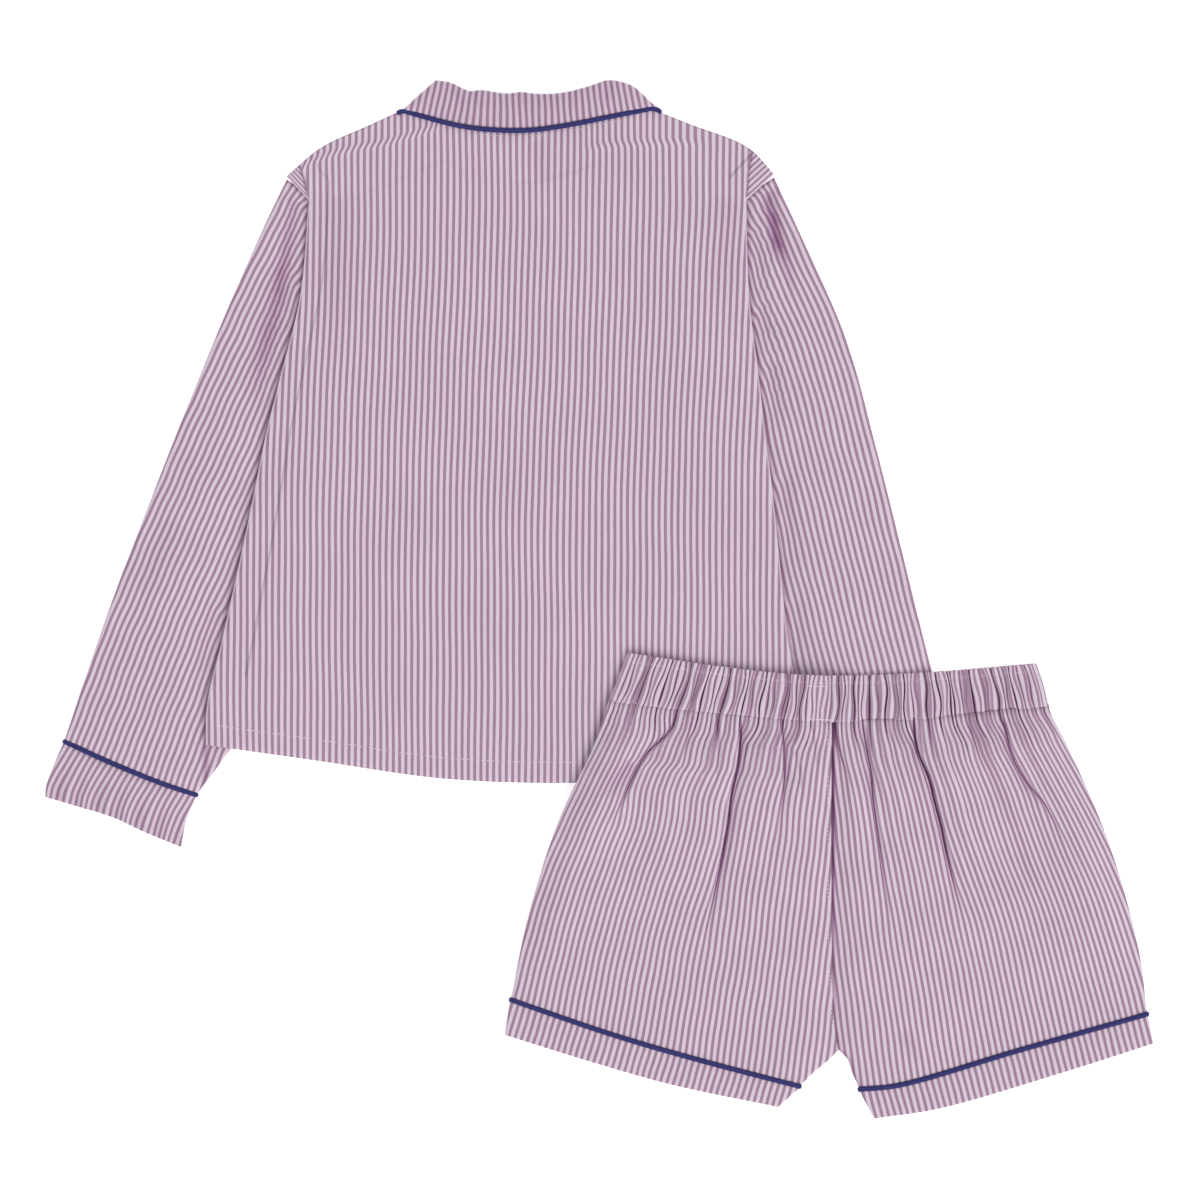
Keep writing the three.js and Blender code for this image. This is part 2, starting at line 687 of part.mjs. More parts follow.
function legPanel(side) {
  const leg = legs[side];
  const panelGathers = gathers(gathersAcrossBack / 2, leg.gatherSeed);
  const across = panelGathers.map(({ share }) => share);
  const waistShares = across.map((share) => THREE.MathUtils.lerp(...leg.waistHalf, share));
  const centreShares = panelDown.slice(0, crotchRow + 1).map((down) => down / panelDown[crotchRow]);
  const inner = [...trace(centreBack, centreShares), ...trace(leg.inner, [0.5, 1])]
    .map((p) => p.clone().add(at(leg.centreShift, 0)));
  const outer = trace(leg.outer, panelDown);
  const points = net({
    top: traceBeside(waistSeam, -seamGap, waistShares),
    bottom: traceBeside(leg.seam, besidePiping, across),
    left: side === 'left' ? outer : inner,
    right: side === 'left' ? inner : outer,
    across,
    down: panelDown,
  });
  return { points, panelGathers };
}

const shortsFronts = Object.keys(legs).map((side) => {
  const points = legPanel(side).points.map((row) => row.filter((_, i) => i % underStep === 0));
  return addPiece(`shorts_front_${side}`, 'stripedPoplin', layer(points, { margin: panelMargin }));
});
layTogether(shortsFronts);

for (const side of Object.keys(legs)) {
  const { points, panelGathers } = legPanel(side);
  const last = panelGathers.length - 1;
  const fromWaist = (j) => panelDown[j] * shortsLength;
  addPiece(`shorts_back_${side}`, 'stripedPoplin', layer(points, {
    underStep,
    loft: (p, i, j) => {
      const inside = smoothRise(0, 4, Math.min(i, last - i));
      const full = THREE.MathUtils.lerp(bandLoft, shortsLoft, smoothRise(0, fullestAt, fromWaist(j)));
      return inside * THREE.MathUtils.lerp(bandLoft, full, 1 - smoothRise(hemCloses, 1, panelDown[j]));
    },
    relief: (p, i, j) => {
      const gather = gatherRise * panelGathers[i].crest * Math.exp(-fromWaist(j) / panelGathers[i].length);
      const puff = smoothRise(0, gathersFaded, fromWaist(j))
        * (1 - smoothRise(puffsFade.from, puffsFade.to, fromWaist(j)));
      return gather + puffRise * puff * fullness(shortsCreases, p);
    },
  }));
}

// The part's own origin: under the middle of the lay, at the height of the table
const bounds = new THREE.Box3().setFromObject(pyjamaSet);
const middle = bounds.getCenter(new THREE.Vector3());
pyjamaSet.position.set(-middle.x, -middle.y, -bounds.min.z);

const part = new THREE.Group();
part.add(pyjamaSet);

export default part;
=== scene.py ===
import math
import warnings

import bmesh
import bpy
import numpy as np
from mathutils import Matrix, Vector
from mathutils.bvhtree import BVHTree


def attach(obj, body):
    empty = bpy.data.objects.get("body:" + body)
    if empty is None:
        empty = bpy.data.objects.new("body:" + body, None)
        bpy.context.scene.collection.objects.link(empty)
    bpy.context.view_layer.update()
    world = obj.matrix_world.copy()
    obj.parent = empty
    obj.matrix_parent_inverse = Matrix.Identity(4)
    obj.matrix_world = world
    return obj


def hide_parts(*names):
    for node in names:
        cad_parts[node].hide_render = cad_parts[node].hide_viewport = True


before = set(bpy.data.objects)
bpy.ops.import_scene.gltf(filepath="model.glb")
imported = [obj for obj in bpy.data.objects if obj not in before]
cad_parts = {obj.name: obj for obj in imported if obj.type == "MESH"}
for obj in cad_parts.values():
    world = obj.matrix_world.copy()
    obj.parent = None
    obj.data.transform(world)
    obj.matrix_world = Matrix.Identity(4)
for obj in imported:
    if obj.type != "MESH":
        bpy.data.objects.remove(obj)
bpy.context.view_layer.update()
print("frame loaded:", len(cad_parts), "solids")

# from the drawing's zero to the frame's, so every point below is where the solids have it
layShift = np.array([-0.25, 0.47, 0])

cloth = {
    "wall": 0.5,                # drawn a little thicker than the real 0.3, so that edges show
    "tubeRoundness": 2.6,       # mm from a flattened tube's fold over which it rounds
    "tubeMiddle": 0.45,         # the fold's level, as a share of the tube's height
    "tubeGap": 0.03,            # least room inside, above and below that level
    "foldColumns": (0, 0.2, 0.6, 1.2, 2, 3),        # mm from the fold, where columns stand closer
    "nextColumn": 4.2,
}
piping = {
    "width": 3.4,
    "height": 2.3,
    "lift": 0.2,                # over the cloth beside it
    "under": 1.1,               # seams run in under it, this far from its middle
    "sides": 12,
    "snag": 0.05,               # drawn in by this share where each stitch holds it
    "stitch": 6.3,
    "cutEnd": 1.2,              # mm over which a cut end narrows
    "turn": 1.6,                # mm that it reaches out round a tube's fold
    "lowLevel": 1.06,           # of half its height, where it runs under a tube
}
lap = {                         # where one side of a fold lies over the other
    "edge": 1.1,                # mm over which the upper side drops
    "crease": 0.95,             # painted shade: how dark the line under its edge is, where it is and how wide
    "creaseAt": 0.5,
    "creaseWidth": 0.9,
    "shadow": 0.3,              # and the softer painted shade beyond, as wide as this share of the fold's reach
    "shadowWidth": 0.7,
    "light": 0.45,              # and the painted highlight on the rounded edge
    "lightAt": -1.7,
    "lightWidth": 0.8,
    "hidesAt": 0.6,
    "hidesWidth": 1.4,
}


# Drawing in plan

def curve(*points, steps=16):
    # smooth run through a few points, as many short straight steps
    p = np.array(points, float)
    if len(p) == 2:
        return p[0] + (p[1] - p[0]) * np.linspace(0, 1, steps + 1)[:, None]
    p = np.vstack([2 * p[0] - p[1], p, 2 * p[-1] - p[-2]])
    run = []
    for a, b, c, d in zip(p, p[1:], p[2:], p[3:]):
        ab, bc, cd = (max(1e-4, np.linalg.norm(v - u) ** 0.5) for u, v in ((a, b), (b, c), (c, d)))
        leave = ((b - a) / ab - (c - a) / (ab + bc) + (c - b) / bc) * bc
        reach = ((c - b) / bc - (d - b) / (bc + cd) + (d - c) / cd) * bc
        t = np.linspace(0, 1, steps + 1)[:-1, None]
        run.append(b + leave * t + (3 * (c - b) - 2 * leave - reach) * t ** 2
                   + (2 * (b - c) + leave + reach) * t ** 3)
    return np.vstack(run + [p[-2:-1]])


def joined(*runs):
    # runs that meet in corners, as one line
    return np.vstack([runs[0], *(run[1:] for run in runs[1:])])


def lengthsAlong(line):
    return np.concatenate([[0], np.cumsum(np.linalg.norm(np.diff(line, axis=0), axis=1))])


def trace(line, shares):
    along = lengthsAlong(line)
    return np.stack([np.interp(np.asarray(shares) * along[-1], along, line[:, k]) for k in (0, 1)], -1)


def traceBeside(line, distance, shares):
    # left of the run when the distance is positive
    step = trace(line, np.clip(shares + 0.004, 0, 1)) - trace(line, np.clip(shares - 0.004, 0, 1))
    step /= np.linalg.norm(step, axis=1)[:, None]
    return trace(line, shares) + distance * np.stack([-step[:, 1], step[:, 0]], 1)


def even(count):
    return np.linspace(0, 1, count + 1)


def tubeShares(count, width):
    # closer together beside the two folds of a flattened tube
    near = np.array(cloth["foldColumns"]) / width
    far = cloth["nextColumn"] / width
    return np.concatenate([near, np.linspace(far, 1 - far, count), 1 - near[::-1]])


def rowsBetween(first, last, shares):
    # rows of points from one run to another, a row for each share
    return first[None] * (1 - shares[:, None, None]) + last[None] * shares[:, None, None]


def net(top, bottom, left, right, across, down):
    # points between four edges, a row for each share down; the columns may shift from row to row
    u = np.broadcast_to(across, (len(down), np.shape(across)[-1]))[..., None]
    v = down[:, None, None]
    top, bottom = (np.broadcast_to(edge, u.shape[:2] + (2,)) for edge in (top, bottom))
    a, b, c, d = top[0, 0], top[0, -1], bottom[-1, 0], bottom[-1, -1]
    left, right = left.copy(), right.copy()
    left[0], right[0], left[-1], right[-1] = a, b, c, d
    return ((1 - v) * top + v * bottom + (1 - u) * left[:, None] + u * right[:, None]
            - (1 - u) * (1 - v) * a - u * (1 - v) * b - (1 - u) * v * c - u * v * d)


def rise(start, end, value):
    t = np.clip((np.asarray(value, float) - start) / (end - start), 0, 1)
    return t * t * (3 - 2 * t)


def bell(value, width):
    return np.exp(-(value / width) ** 2)


def beside(points, line):
    # for each point: its distance from a line, positive on the left of its run, and its share along it
    flat = points.reshape(-1, 2)
    nearest = np.full(len(flat), np.inf)
    signed, share = np.zeros(len(flat)), np.zeros(len(flat))
    along = lengthsAlong(line)
    for a, b, start in zip(line, line[1:], along):
        run = b - a
        size = np.linalg.norm(run)
        t = np.clip(((flat - a) @ run) / size ** 2, 0, 1)
        off = flat - a - t[:, None] * run
        distance = np.hypot(off[:, 0], off[:, 1])
        nearer = distance < nearest
        nearest = np.where(nearer, distance, nearest)
        side = run[0] * off[:, 1] - run[1] * off[:, 0]
        signed = np.where(nearer, np.copysign(distance, side), signed)
        share = np.where(nearer, (start + t * size) / along[-1], share)
    return signed.reshape(points.shape[:-1]), share.reshape(points.shape[:-1])


def fold(depth, *through, **how):
    # A fold through these points, from top to bottom. A soft one has a spread to its left and right. In the
    # others one side laps over, and the crease under it is sharp. It may hide some mm of cloth.
    return {"depth": depth, "through": through, "hides": 0, "shade": depth / 3, "fadeOut": 0.6, **how}


def foldsAt(points, folds):
    # for each point: how deep the folds draw the cloth, how many mm of it each mm across hides, and how much
    # shade is painted in them
    depth, hidden, shade = (np.zeros(points.shape[:-1]) for _ in range(3))
    for each in folds:
        distance, share = beside(points, curve(*each["through"], steps=6))
        fade = rise(-0.02, 0.1, share) * (1 - rise(1 - each["fadeOut"], 1, share))
        if "laps" in each:
            under = distance if each["laps"] == "left" else -distance
            slope = bell(under, np.where(under > 0, each["reach"], lap["edge"]))
            shadow = np.where(under > 0, bell(under / each["reach"], lap["shadowWidth"]), 0)
            dark = (lap["crease"] * bell(under - lap["creaseAt"], lap["creaseWidth"]) + lap["shadow"] * shadow
                    - lap["light"] * bell(under - lap["lightAt"], lap["lightWidth"]))
            hides = bell(under - lap["hidesAt"], lap["hidesWidth"]) / lap["hidesWidth"]
        else:
            left, right = each["spread"]
            slope = bell(distance, np.where(distance > 0, right, left))
            dark = 0.5 * slope
            hides = slope / ((left + right) / 2)
        depth += each["depth"] * fade * slope
        hidden += each["hides"] * fade * hides / math.sqrt(math.pi)
        shade += each["shade"] * fade * dark
    return depth, hidden, shade


def slowWaves(points, length, seed):
    # gentle unevenness between -1 and 1, made of crossing waves
    x, y = points[..., 0] / length * 2 * math.pi, points[..., 1] / length * 2 * math.pi
    return (np.sin(x + 0.6 * y + seed) + np.sin(0.43 * x - 0.9 * y + 2.1 * seed)
            + np.sin(1.31 * x + 1.7 * y + 0.7 * seed)) / 3


# Heights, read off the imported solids

trees = {}


def treeOf(name, mesh):
    if name not in trees:
        faces = [tuple(face.vertices) for face in mesh.polygons]
        trees[name] = BVHTree.FromPolygons([v.co for v in mesh.vertices], faces)
    return trees[name]


def heightsOf(tree, points):
    # height of a surface over each point, seen from above; past its rim, the height beside it
    heights = np.full(points.shape[:-1], np.nan)
    for index in np.ndindex(heights.shape):
        x, y = (points[index] + layShift[:2]) / 1000
        hit = tree.ray_cast(Vector((x, y, 0.1)), Vector((0, 0, -1)))[0]
        if hit is not None:
            heights[index] = hit.z * 1000
    with warnings.catch_warnings():
        warnings.simplefilter("ignore")
        while heights.ndim == 2 and np.isnan(heights).any():
            around = np.pad(heights, 1, constant_values=np.nan)
            near = np.stack([around[1:-1, :-2], around[1:-1, 2:], around[:-2, 1:-1], around[2:, 1:-1]])
            heights = np.where(np.isnan(heights), np.nanmean(near, 0), heights)
    return heights


def smooth(values, rowPasses, columnPasses):
    for axis, passes in ((0, rowPasses), (1, columnPasses)):
        size = values.shape[axis]
        for _ in range(passes):
            ends = np.pad(values, [(1, 1) if k == axis else (0, 0) for k in (0, 1)], mode="edge")
            before, middle, after = (np.take(ends, range(k, k + size), axis) for k in range(3))
            values = (2 * middle + before + after) / 4
    return values


def solidHeights(node, points):
    return heightsOf(treeOf(node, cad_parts[node].data), points)


def solidTop(node, points, rowPasses, columnPasses, held=0, heldPasses=0):
    # A solid's upper side, smoothed by so many passes down and across. A tube's outer columns are then held
    # level with the next one in and smoothed again, because its own rounding comes later.
    top = smooth(solidHeights(node, points), rowPasses, columnPasses)
    if held:
        top[:, :held], top[:, -held:] = top[:, held:held + 1], top[:, -held - 1:-held]
    return smooth(top, 0, heldPasses)


# Meshes

def addPiece(name, points, faces, thread, material, stands):
    mesh = bpy.data.meshes.new(name)
    mesh.from_pydata(((points + layShift) / 1000).tolist(), [], faces)
    mesh.attributes.new("thread", "FLOAT_VECTOR", "POINT").data.foreach_set(
        "vector", np.asarray(thread, np.float32).ravel())
    mesh.polygons.foreach_set("use_smooth", [True] * len(mesh.polygons))
    mesh.materials.append(material)
    piece = bpy.data.objects.new(name, mesh)
    bpy.context.scene.collection.objects.link(piece)
    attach(piece, "root")
    if stands:
        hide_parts(*stands)
    return piece


def gridFaces(ids, closed=False):
    nextColumn = np.roll(ids, -1, 1) if closed else ids[:, 1:]
    column = ids if closed else ids[:, :-1]
    return np.stack([column[:-1], column[1:], nextColumn[1:], nextColumn[:-1]], -1).reshape(-1, 4)


def facingUp(points, faces):
    # a net drawn from right to left has its faces turned over
    a, b, c = points[0, 0], points[-1, 0], points[-1, -1]
    turned = (b - a)[0] * (c - a)[1] - (b - a)[1] * (c - a)[0] < 0
    return (faces[:, ::-1] if turned else faces).tolist()


def clothLayer(name, node, points, top, thread, wall=cloth["wall"]):
    rows, columns = top.shape
    over = np.arange(rows * columns).reshape(rows, columns)
    under = over + over.size
    rim = np.concatenate([over[0, :-1], over[:-1, -1], over[-1, :0:-1], over[:0:-1, 0]])
    ring = np.stack([rim, np.roll(rim, -1), np.roll(rim, -1) + over.size, rim + over.size], -1)
    faces = np.concatenate([gridFaces(over), gridFaces(under)[:, ::-1], ring])
    verts = np.concatenate([np.dstack([points, level]).reshape(-1, 3) for level in (top, top - wall)])
    threads = np.tile(thread.reshape(-1, 3), (2, 1))
    return addPiece(name, verts, facingUp(points, faces), threads, stripedPoplin, [node])


def clothTube(name, node, points, top, low, thread, wall=cloth["wall"], roundness=cloth["tubeRoundness"]):
    # a flattened tube, rounded where it folds; its first and last columns are the folds
    rows, columns = top.shape
    acrossTube = points[:, -1:] - points[:, :1]
    fromFold = np.minimum(np.linalg.norm(points - points[:, :1], axis=2),
                          np.linalg.norm(points - points[:, -1:], axis=2))
    bulge = np.sqrt(1 - (1 - np.clip(fromFold / roundness, 0, 1)) ** 2)
    middle = low + (top - low) * cloth["tubeMiddle"]
    upper, lower = middle + (top - middle) * bulge, middle - (middle - low) * bulge
    inset = np.clip(wall * (1 - fromFold / roundness), 0, wall) / np.linalg.norm(acrossTube, axis=2)
    toward = np.where(np.arange(columns) < columns / 2, 1, -1)[None, :, None]
    inside = points + toward * inset[..., None] * acrossTube
    innerUpper = np.maximum(upper - wall, middle + cloth["tubeGap"])
    innerLower = np.minimum(lower + wall, middle - cloth["tubeGap"])

    def loop(plan, high, low):
        return np.concatenate([np.dstack([plan, high]), np.dstack([plan, low])[:, -2:0:-1]], 1)

    outer, inner = loop(points, upper, lower), loop(inside, innerUpper, innerLower)
    outerIds = np.arange(outer.shape[0] * outer.shape[1]).reshape(outer.shape[:2])
    innerIds = outerIds + outerIds.size
    ends = []
    for row, turn in ((0, 1), (-1, -1)):
        a, b = outerIds[row], innerIds[row]
        ends.append(np.stack([a, np.roll(a, -1), np.roll(b, -1), b], -1)[:, ::turn])
    faces = np.concatenate([gridFaces(outerIds, True), gridFaces(innerIds, True)[:, ::-1], *ends])
    around = np.concatenate([thread, thread[:, -2:0:-1]], 1).reshape(-1, 3)
    verts = np.concatenate([outer.reshape(-1, 3), inner.reshape(-1, 3)])
    threads = np.tile(around, (2, 1))
    return addPiece(name, verts, facingUp(points, faces), threads, stripedPoplin, [node])


def sewnFrom(piece):
    # hands the piece back as it is
    return piece


def cordPiece(name, node, path, side, closed):
    # cord swept along a path; side is level and points across it
    tangent = (np.roll(path, -1, 0) - np.roll(path, 1, 0)) if closed else np.gradient(path, axis=0)
    tangent /= np.linalg.norm(tangent, axis=1)[:, None]
    up = np.cross(tangent, side)
    turn = np.arange(piping["sides"]) / piping["sides"] * 2 * math.pi
    along = lengthsAlong(path)
    size = 1 + piping["snag"] * np.sin(along / piping["stitch"] * 2 * math.pi)
    if not closed:
        size = size * np.sqrt(np.clip(np.minimum(along, along[-1] - along) / piping["cutEnd"], 0.02, 1))
    reach = (np.cos(turn)[None, :, None] * side[:, None] * piping["width"] / 2
             + np.sin(turn)[None, :, None] * up[:, None] * piping["height"] / 2)
    verts = path[:, None] + size[:, None, None] * reach
    ids = np.arange(len(path) * len(turn)).reshape(len(path), len(turn))
    faces = gridFaces(np.vstack([ids, ids[:1]]) if closed else ids, True).tolist()
    if not closed:
        faces += [ids[0].tolist(), ids[-1, ::-1].tolist()]
    thread = threadOf(np.repeat(along[:, None], len(turn), 1), turn[None] * piping["width"] / 2 + 0 * ids)
    return addPiece(name, verts.reshape(-1, 3), faces, thread.reshape(-1, 3), navyCottonSatin,
                    [node])


def levelSide(plan):
    step = np.gradient(plan, axis=0)
    step /= np.linalg.norm(step, axis=1)[:, None]
    return np.column_stack([-step[:, 1], step[:, 0], np.zeros(len(plan))])


def pipingTop(node, plan):
    return smooth(solidHeights(node, plan[None]), 0, 6)[0] - piping["height"] / 2 + piping["lift"]


def pipingAlong(name, node, line, steps):
    plan = trace(line, even(steps))
    return cordPiece(name, node, np.column_stack([plan, pipingTop(node, plan)]), levelSide(plan), False)


def pipingRound(name, node, line, steps=110):
    # over the top, round the fold, back under and round again
    reach = piping["turn"] / lengthsAlong(line)[-1]
    plan = trace(line, np.linspace(reach, 1 - reach, steps))
    top = pipingTop(node, plan)
    side = levelSide(plan)
    forward = np.column_stack([side[:, 1], -side[:, 0], side[:, 2]])
    low = np.full(len(plan), piping["height"] / 2 * piping["lowLevel"])
    path, sides = [np.column_stack([plan, top])], [side]
    for end, sign in ((-1, 1), (0, -1)):
        angles = np.linspace(0, math.pi, 9)[1:-1]
        middle, half = (top[end] + low[end]) / 2, (top[end] - low[end]) / 2
        out = np.append(plan[end], 0) + sign * piping["turn"] * np.sin(angles)[:, None] * forward[end]
        out[:, 2] = middle + half * np.cos(angles) * sign
        path.append(out)
        sides.append(np.repeat(side[end][None], len(angles), 0))
        if sign > 0:
            path.append(np.column_stack([plan[::-1], low[::-1]]))
            sides.append(side[::-1])
    return cordPiece(name, node, np.vstack(path), np.vstack(sides), True)


def stitchRuns(name, lines, onto, stitch, gap, width, wander=0.12):
    # short rounded bars of thread along lines on a finished piece; each end dips into the cloth
    stations = np.array([0, 0.14, 0.5, 0.86, 1])
    lift = np.array([-0.45, 0.12, 0.3, 0.12, -0.45]) * width
    thick = np.array([0.3, 0.95, 1, 0.95, 0.3]) * width / 2
    flatness = 0.8
    sides = 6
    turn = np.arange(sides) / sides * 2 * math.pi
    known = [0, 2, 4]           # stations where the cloth's height is read
    tree = treeOf(onto.name, onto.data)
    verts, faces = [], []
    for line in lines:
        length = lengthsAlong(line)[-1]
        starts = (np.arange(int(length / (stitch + gap))) + 0.15) * (stitch + gap)
        for k, start in enumerate(starts):
            plan = trace(line, (start + stations * stitch * (1 + wander * math.sin(k * 2.3))) / length)
            run = (plan[-1] - plan[0]) / np.linalg.norm(plan[-1] - plan[0])
            normal = np.array([-run[1], run[0]])
            plan = plan + normal * wander * math.sin(k * 1.7)
            heights = heightsOf(tree, plan[known])
            if np.isnan(heights).any():
                continue
            middle = np.column_stack([plan, np.interp(stations, stations[known], heights) + lift])
            out = (np.cos(turn)[:, None] * np.append(normal, 0)
                   + np.sin(turn)[:, None] * np.array([0, 0, flatness]))
            ids = (len(verts) * len(stations) * sides + np.arange(len(stations) * sides)).reshape(-1, sides)
            verts.append((middle[:, None] + thick[:, None, None] * out).reshape(-1, 3))
            faces += gridFaces(ids, True).tolist() + [ids[0].tolist(), ids[-1, ::-1].tolist()]
    points = np.concatenate(verts)
    thread = np.column_stack([points[:, :2], np.zeros(len(points))])
    return addPiece(name, points, faces, thread, spunThread, [])


def threadOf(across, along, tone=0):
    # what the cloth's material reads: mm across and along its stripes, and the painted shade, deepest in
    # folds, with painted light edges below 0
    return np.dstack([across, along, np.broadcast_to(tone, across.shape)])


# Materials

def linear(hexColour):
    values = [int(hexColour[k:k + 2], 16) / 255 for k in (1, 3, 5)]
    return [v / 12.92 if v <= 0.04045 else ((v + 0.055) / 1.055) ** 2.4 for v in values] + [1.0]


def fill(tree, node, inputs):
    # each input is a value, or another node's output to link
    for key, value in inputs.items():
        if isinstance(value, bpy.types.NodeSocket):
            tree.links.new(value, node.inputs[key])
        else:
            node.inputs[key].default_value = value


def addNode(tree, kind, inputs=None, **settings):
    node = tree.nodes.new(kind)
    for key, value in settings.items():
        setattr(node, key, value)
    fill(tree, node, inputs or {})
    return node


def newMaterial(name):
    material = bpy.data.materials.new(name)
    material.use_nodes = True
    return material, material.node_tree, material.node_tree.nodes["Principled BSDF"]


def sums(tree, operation, first, second=0.0, third=0.0):
    return addNode(tree, "ShaderNodeMath", {0: first, 1: second, 2: third}, operation=operation).outputs[0]


def mixed(tree, share, first, second, **settings):
    # two colours mixed; each is a hex value or a node's output
    colours = [linear(each) if isinstance(each, str) else each for each in (first, second)]
    node = addNode(tree, "ShaderNodeMix", {"Factor": share, 6: colours[0], 7: colours[1]}, data_type="RGBA",
                   **settings)
    return node.outputs[2]


def noise(tree, vector, scale, detail, **others):
    return addNode(tree, "ShaderNodeTexNoise", {"Vector": vector, "Scale": scale, "Detail": detail,
                                                **others}).outputs[0]


def threadCoordinates(tree):
    vector = addNode(tree, "ShaderNodeAttribute", attribute_name="thread").outputs["Vector"]
    return vector, *addNode(tree, "ShaderNodeSeparateXYZ", {0: vector}).outputs


# Yarn-dyed cotton poplin, plain woven, washed and pressed: matt, crisp stripes whose edges waver by a thread
poplin = {
    "lightYarn": "#dccbda",
    "mauveYarn": "#a2829a",
    "paintedFoldGlow": "#ba8cb4",       # painted glow for light that has passed between two faces of this cloth
    "glowTo": 0.8,               # fold tone at which it is full
    "paintedFoldShade": "#35203a",       # painted shade: what is left of it at the bottom of a crease
    "darkFrom": 0.6,
    "darkTo": 1.3,
    "darkShare": 0.85,
    # painted highlight on light edges, where the fold tone is below 0
    "paintedEdgeLight": 0.8,
    "stripeRepeat": 4.43,        # mm
    "mauveWidth": 2.12,
    "edgeSoftness": 0.16,
    "wander": 0.16,              # mm that a stripe's edge wavers by
    "wanderScale": 0.11,
    "threadSpacing": 0.7,        # real ends are about 0.25 mm apart, drawn coarser so that the weave shows
    "weaveRelief": 0.035,
    "weaveTone": 0.025,
    "slubTone": 0.16,            # warp yarns are a little lighter or darker along their length
    "slubScale": (2.2, 0.05, 1.0),
    "washedTone": 0.1,           # washed cloth is never quite even over a hand's width
    "washedScale": 0.018,
    "rumple": 0.5,
    "rumpleScale": 0.09,
    "bump": 0.6,
    "roughness": 0.84,
    "gloss": 0.3,
    "sheen": 0.1,
    "sheenRoughness": 0.5,
}


def makePoplin():
    material, tree, shader = newMaterial("yarnDyedPoplin")
    vector, across, along, tone = threadCoordinates(tree)
    slow = noise(tree, vector, poplin["wanderScale"], 3.0)
    wandered = sums(tree, "MULTIPLY_ADD", slow, 2 * poplin["wander"], across)
    phase = sums(tree, "FRACT", sums(tree, "DIVIDE", wandered, poplin["stripeRepeat"]))
    fromMiddle = sums(tree, "MULTIPLY", sums(tree, "ABSOLUTE", sums(tree, "SUBTRACT", phase, 0.5)),
                      poplin["stripeRepeat"])
    stripe = addNode(tree, "ShaderNodeMapRange", {
        "Value": fromMiddle, "From Min": poplin["mauveWidth"] / 2 - poplin["edgeSoftness"],
        "From Max": poplin["mauveWidth"] / 2 + poplin["edgeSoftness"]}, interpolation_type="SMOOTHSTEP")
    striped = mixed(tree, stripe.outputs[0], poplin["mauveYarn"], poplin["lightYarn"])
    stretched = addNode(tree, "ShaderNodeMapping", {"Vector": vector, "Scale": poplin["slubScale"]})
    slubs = noise(tree, stretched.outputs[0], 1.0, 2.0)
    washed = noise(tree, vector, poplin["washedScale"], 2.0)
    # plain weave: one thread over, one under
    turns = 2 * math.pi / poplin["threadSpacing"]
    warp, weft = (sums(tree, "SINE", sums(tree, "MULTIPLY", run, turns)) for run in (across, along))
    weave = sums(tree, "MULTIPLY", warp, weft)
    light = sums(tree, "MULTIPLY_ADD", slubs, poplin["slubTone"], 1 - poplin["slubTone"] / 2)
    light = sums(tree, "MULTIPLY_ADD", washed, poplin["washedTone"],
                 sums(tree, "SUBTRACT", light, poplin["washedTone"] / 2))
    light = sums(tree, "MULTIPLY_ADD", weave, poplin["weaveTone"], light)
    lit = addNode(tree, "ShaderNodeVectorMath", {0: striped, "Scale": light}, operation="SCALE")
    # the fold tone paints light into the colour: a glow in folds, shade deep in creases, highlights on edges
    inFold = addNode(tree, "ShaderNodeMapRange", {"Value": tone, "From Max": poplin["glowTo"]})
    glowing = mixed(tree, inFold.outputs[0], lit.outputs[0], poplin["paintedFoldGlow"], blend_type="MULTIPLY")
    inCrease = addNode(tree, "ShaderNodeMapRange", {
        "Value": tone, "From Min": poplin["darkFrom"], "From Max": poplin["darkTo"],
        "To Max": poplin["darkShare"]})
    deep = mixed(tree, inCrease.outputs[0], glowing, poplin["paintedFoldShade"])
    onEdge = sums(tree, "MULTIPLY", sums(tree, "MINIMUM", tone, 0.0), -poplin["paintedEdgeLight"])
    edged = mixed(tree, onEdge, deep, poplin["lightYarn"], clamp_factor=True)
    rumple = sums(tree, "MULTIPLY", noise(tree, vector, poplin["rumpleScale"], 3.0), poplin["rumple"])
    height = sums(tree, "MULTIPLY_ADD", weave, poplin["weaveRelief"], rumple)
    bump = addNode(tree, "ShaderNodeBump", {"Height": height, "Strength": poplin["bump"], "Distance": 0.001})
    fill(tree, shader, {
        "Base Color": edged, "Normal": bump.outputs[0], "Roughness": poplin["roughness"],
        "Specular IOR Level": poplin["gloss"], "Sheen Weight": poplin["sheen"],
        "Sheen Roughness": poplin["sheenRoughness"]})
    return material


# Bias-cut cotton satin over a twisted cord: a painted highlight stands for the soft line of light that the
# floats catch, and the grain runs across at 45 degrees
satin = {
    "navy": "#1f1f60",
    # painted highlight: a lighter copy of the navy
    "lit": "#303184",
    "ribSpacing": 1.1,           # real floats are about 0.3 mm apart, drawn coarser so that the slant shows
    "ribHighlight": 0.18,
    "unevenScale": 0.5,
    "litFrom": 0.2,
    "bump": 0.5,
    "roughness": 0.5,
    "sheen": 0.08,
    "gloss": 0.3,
}


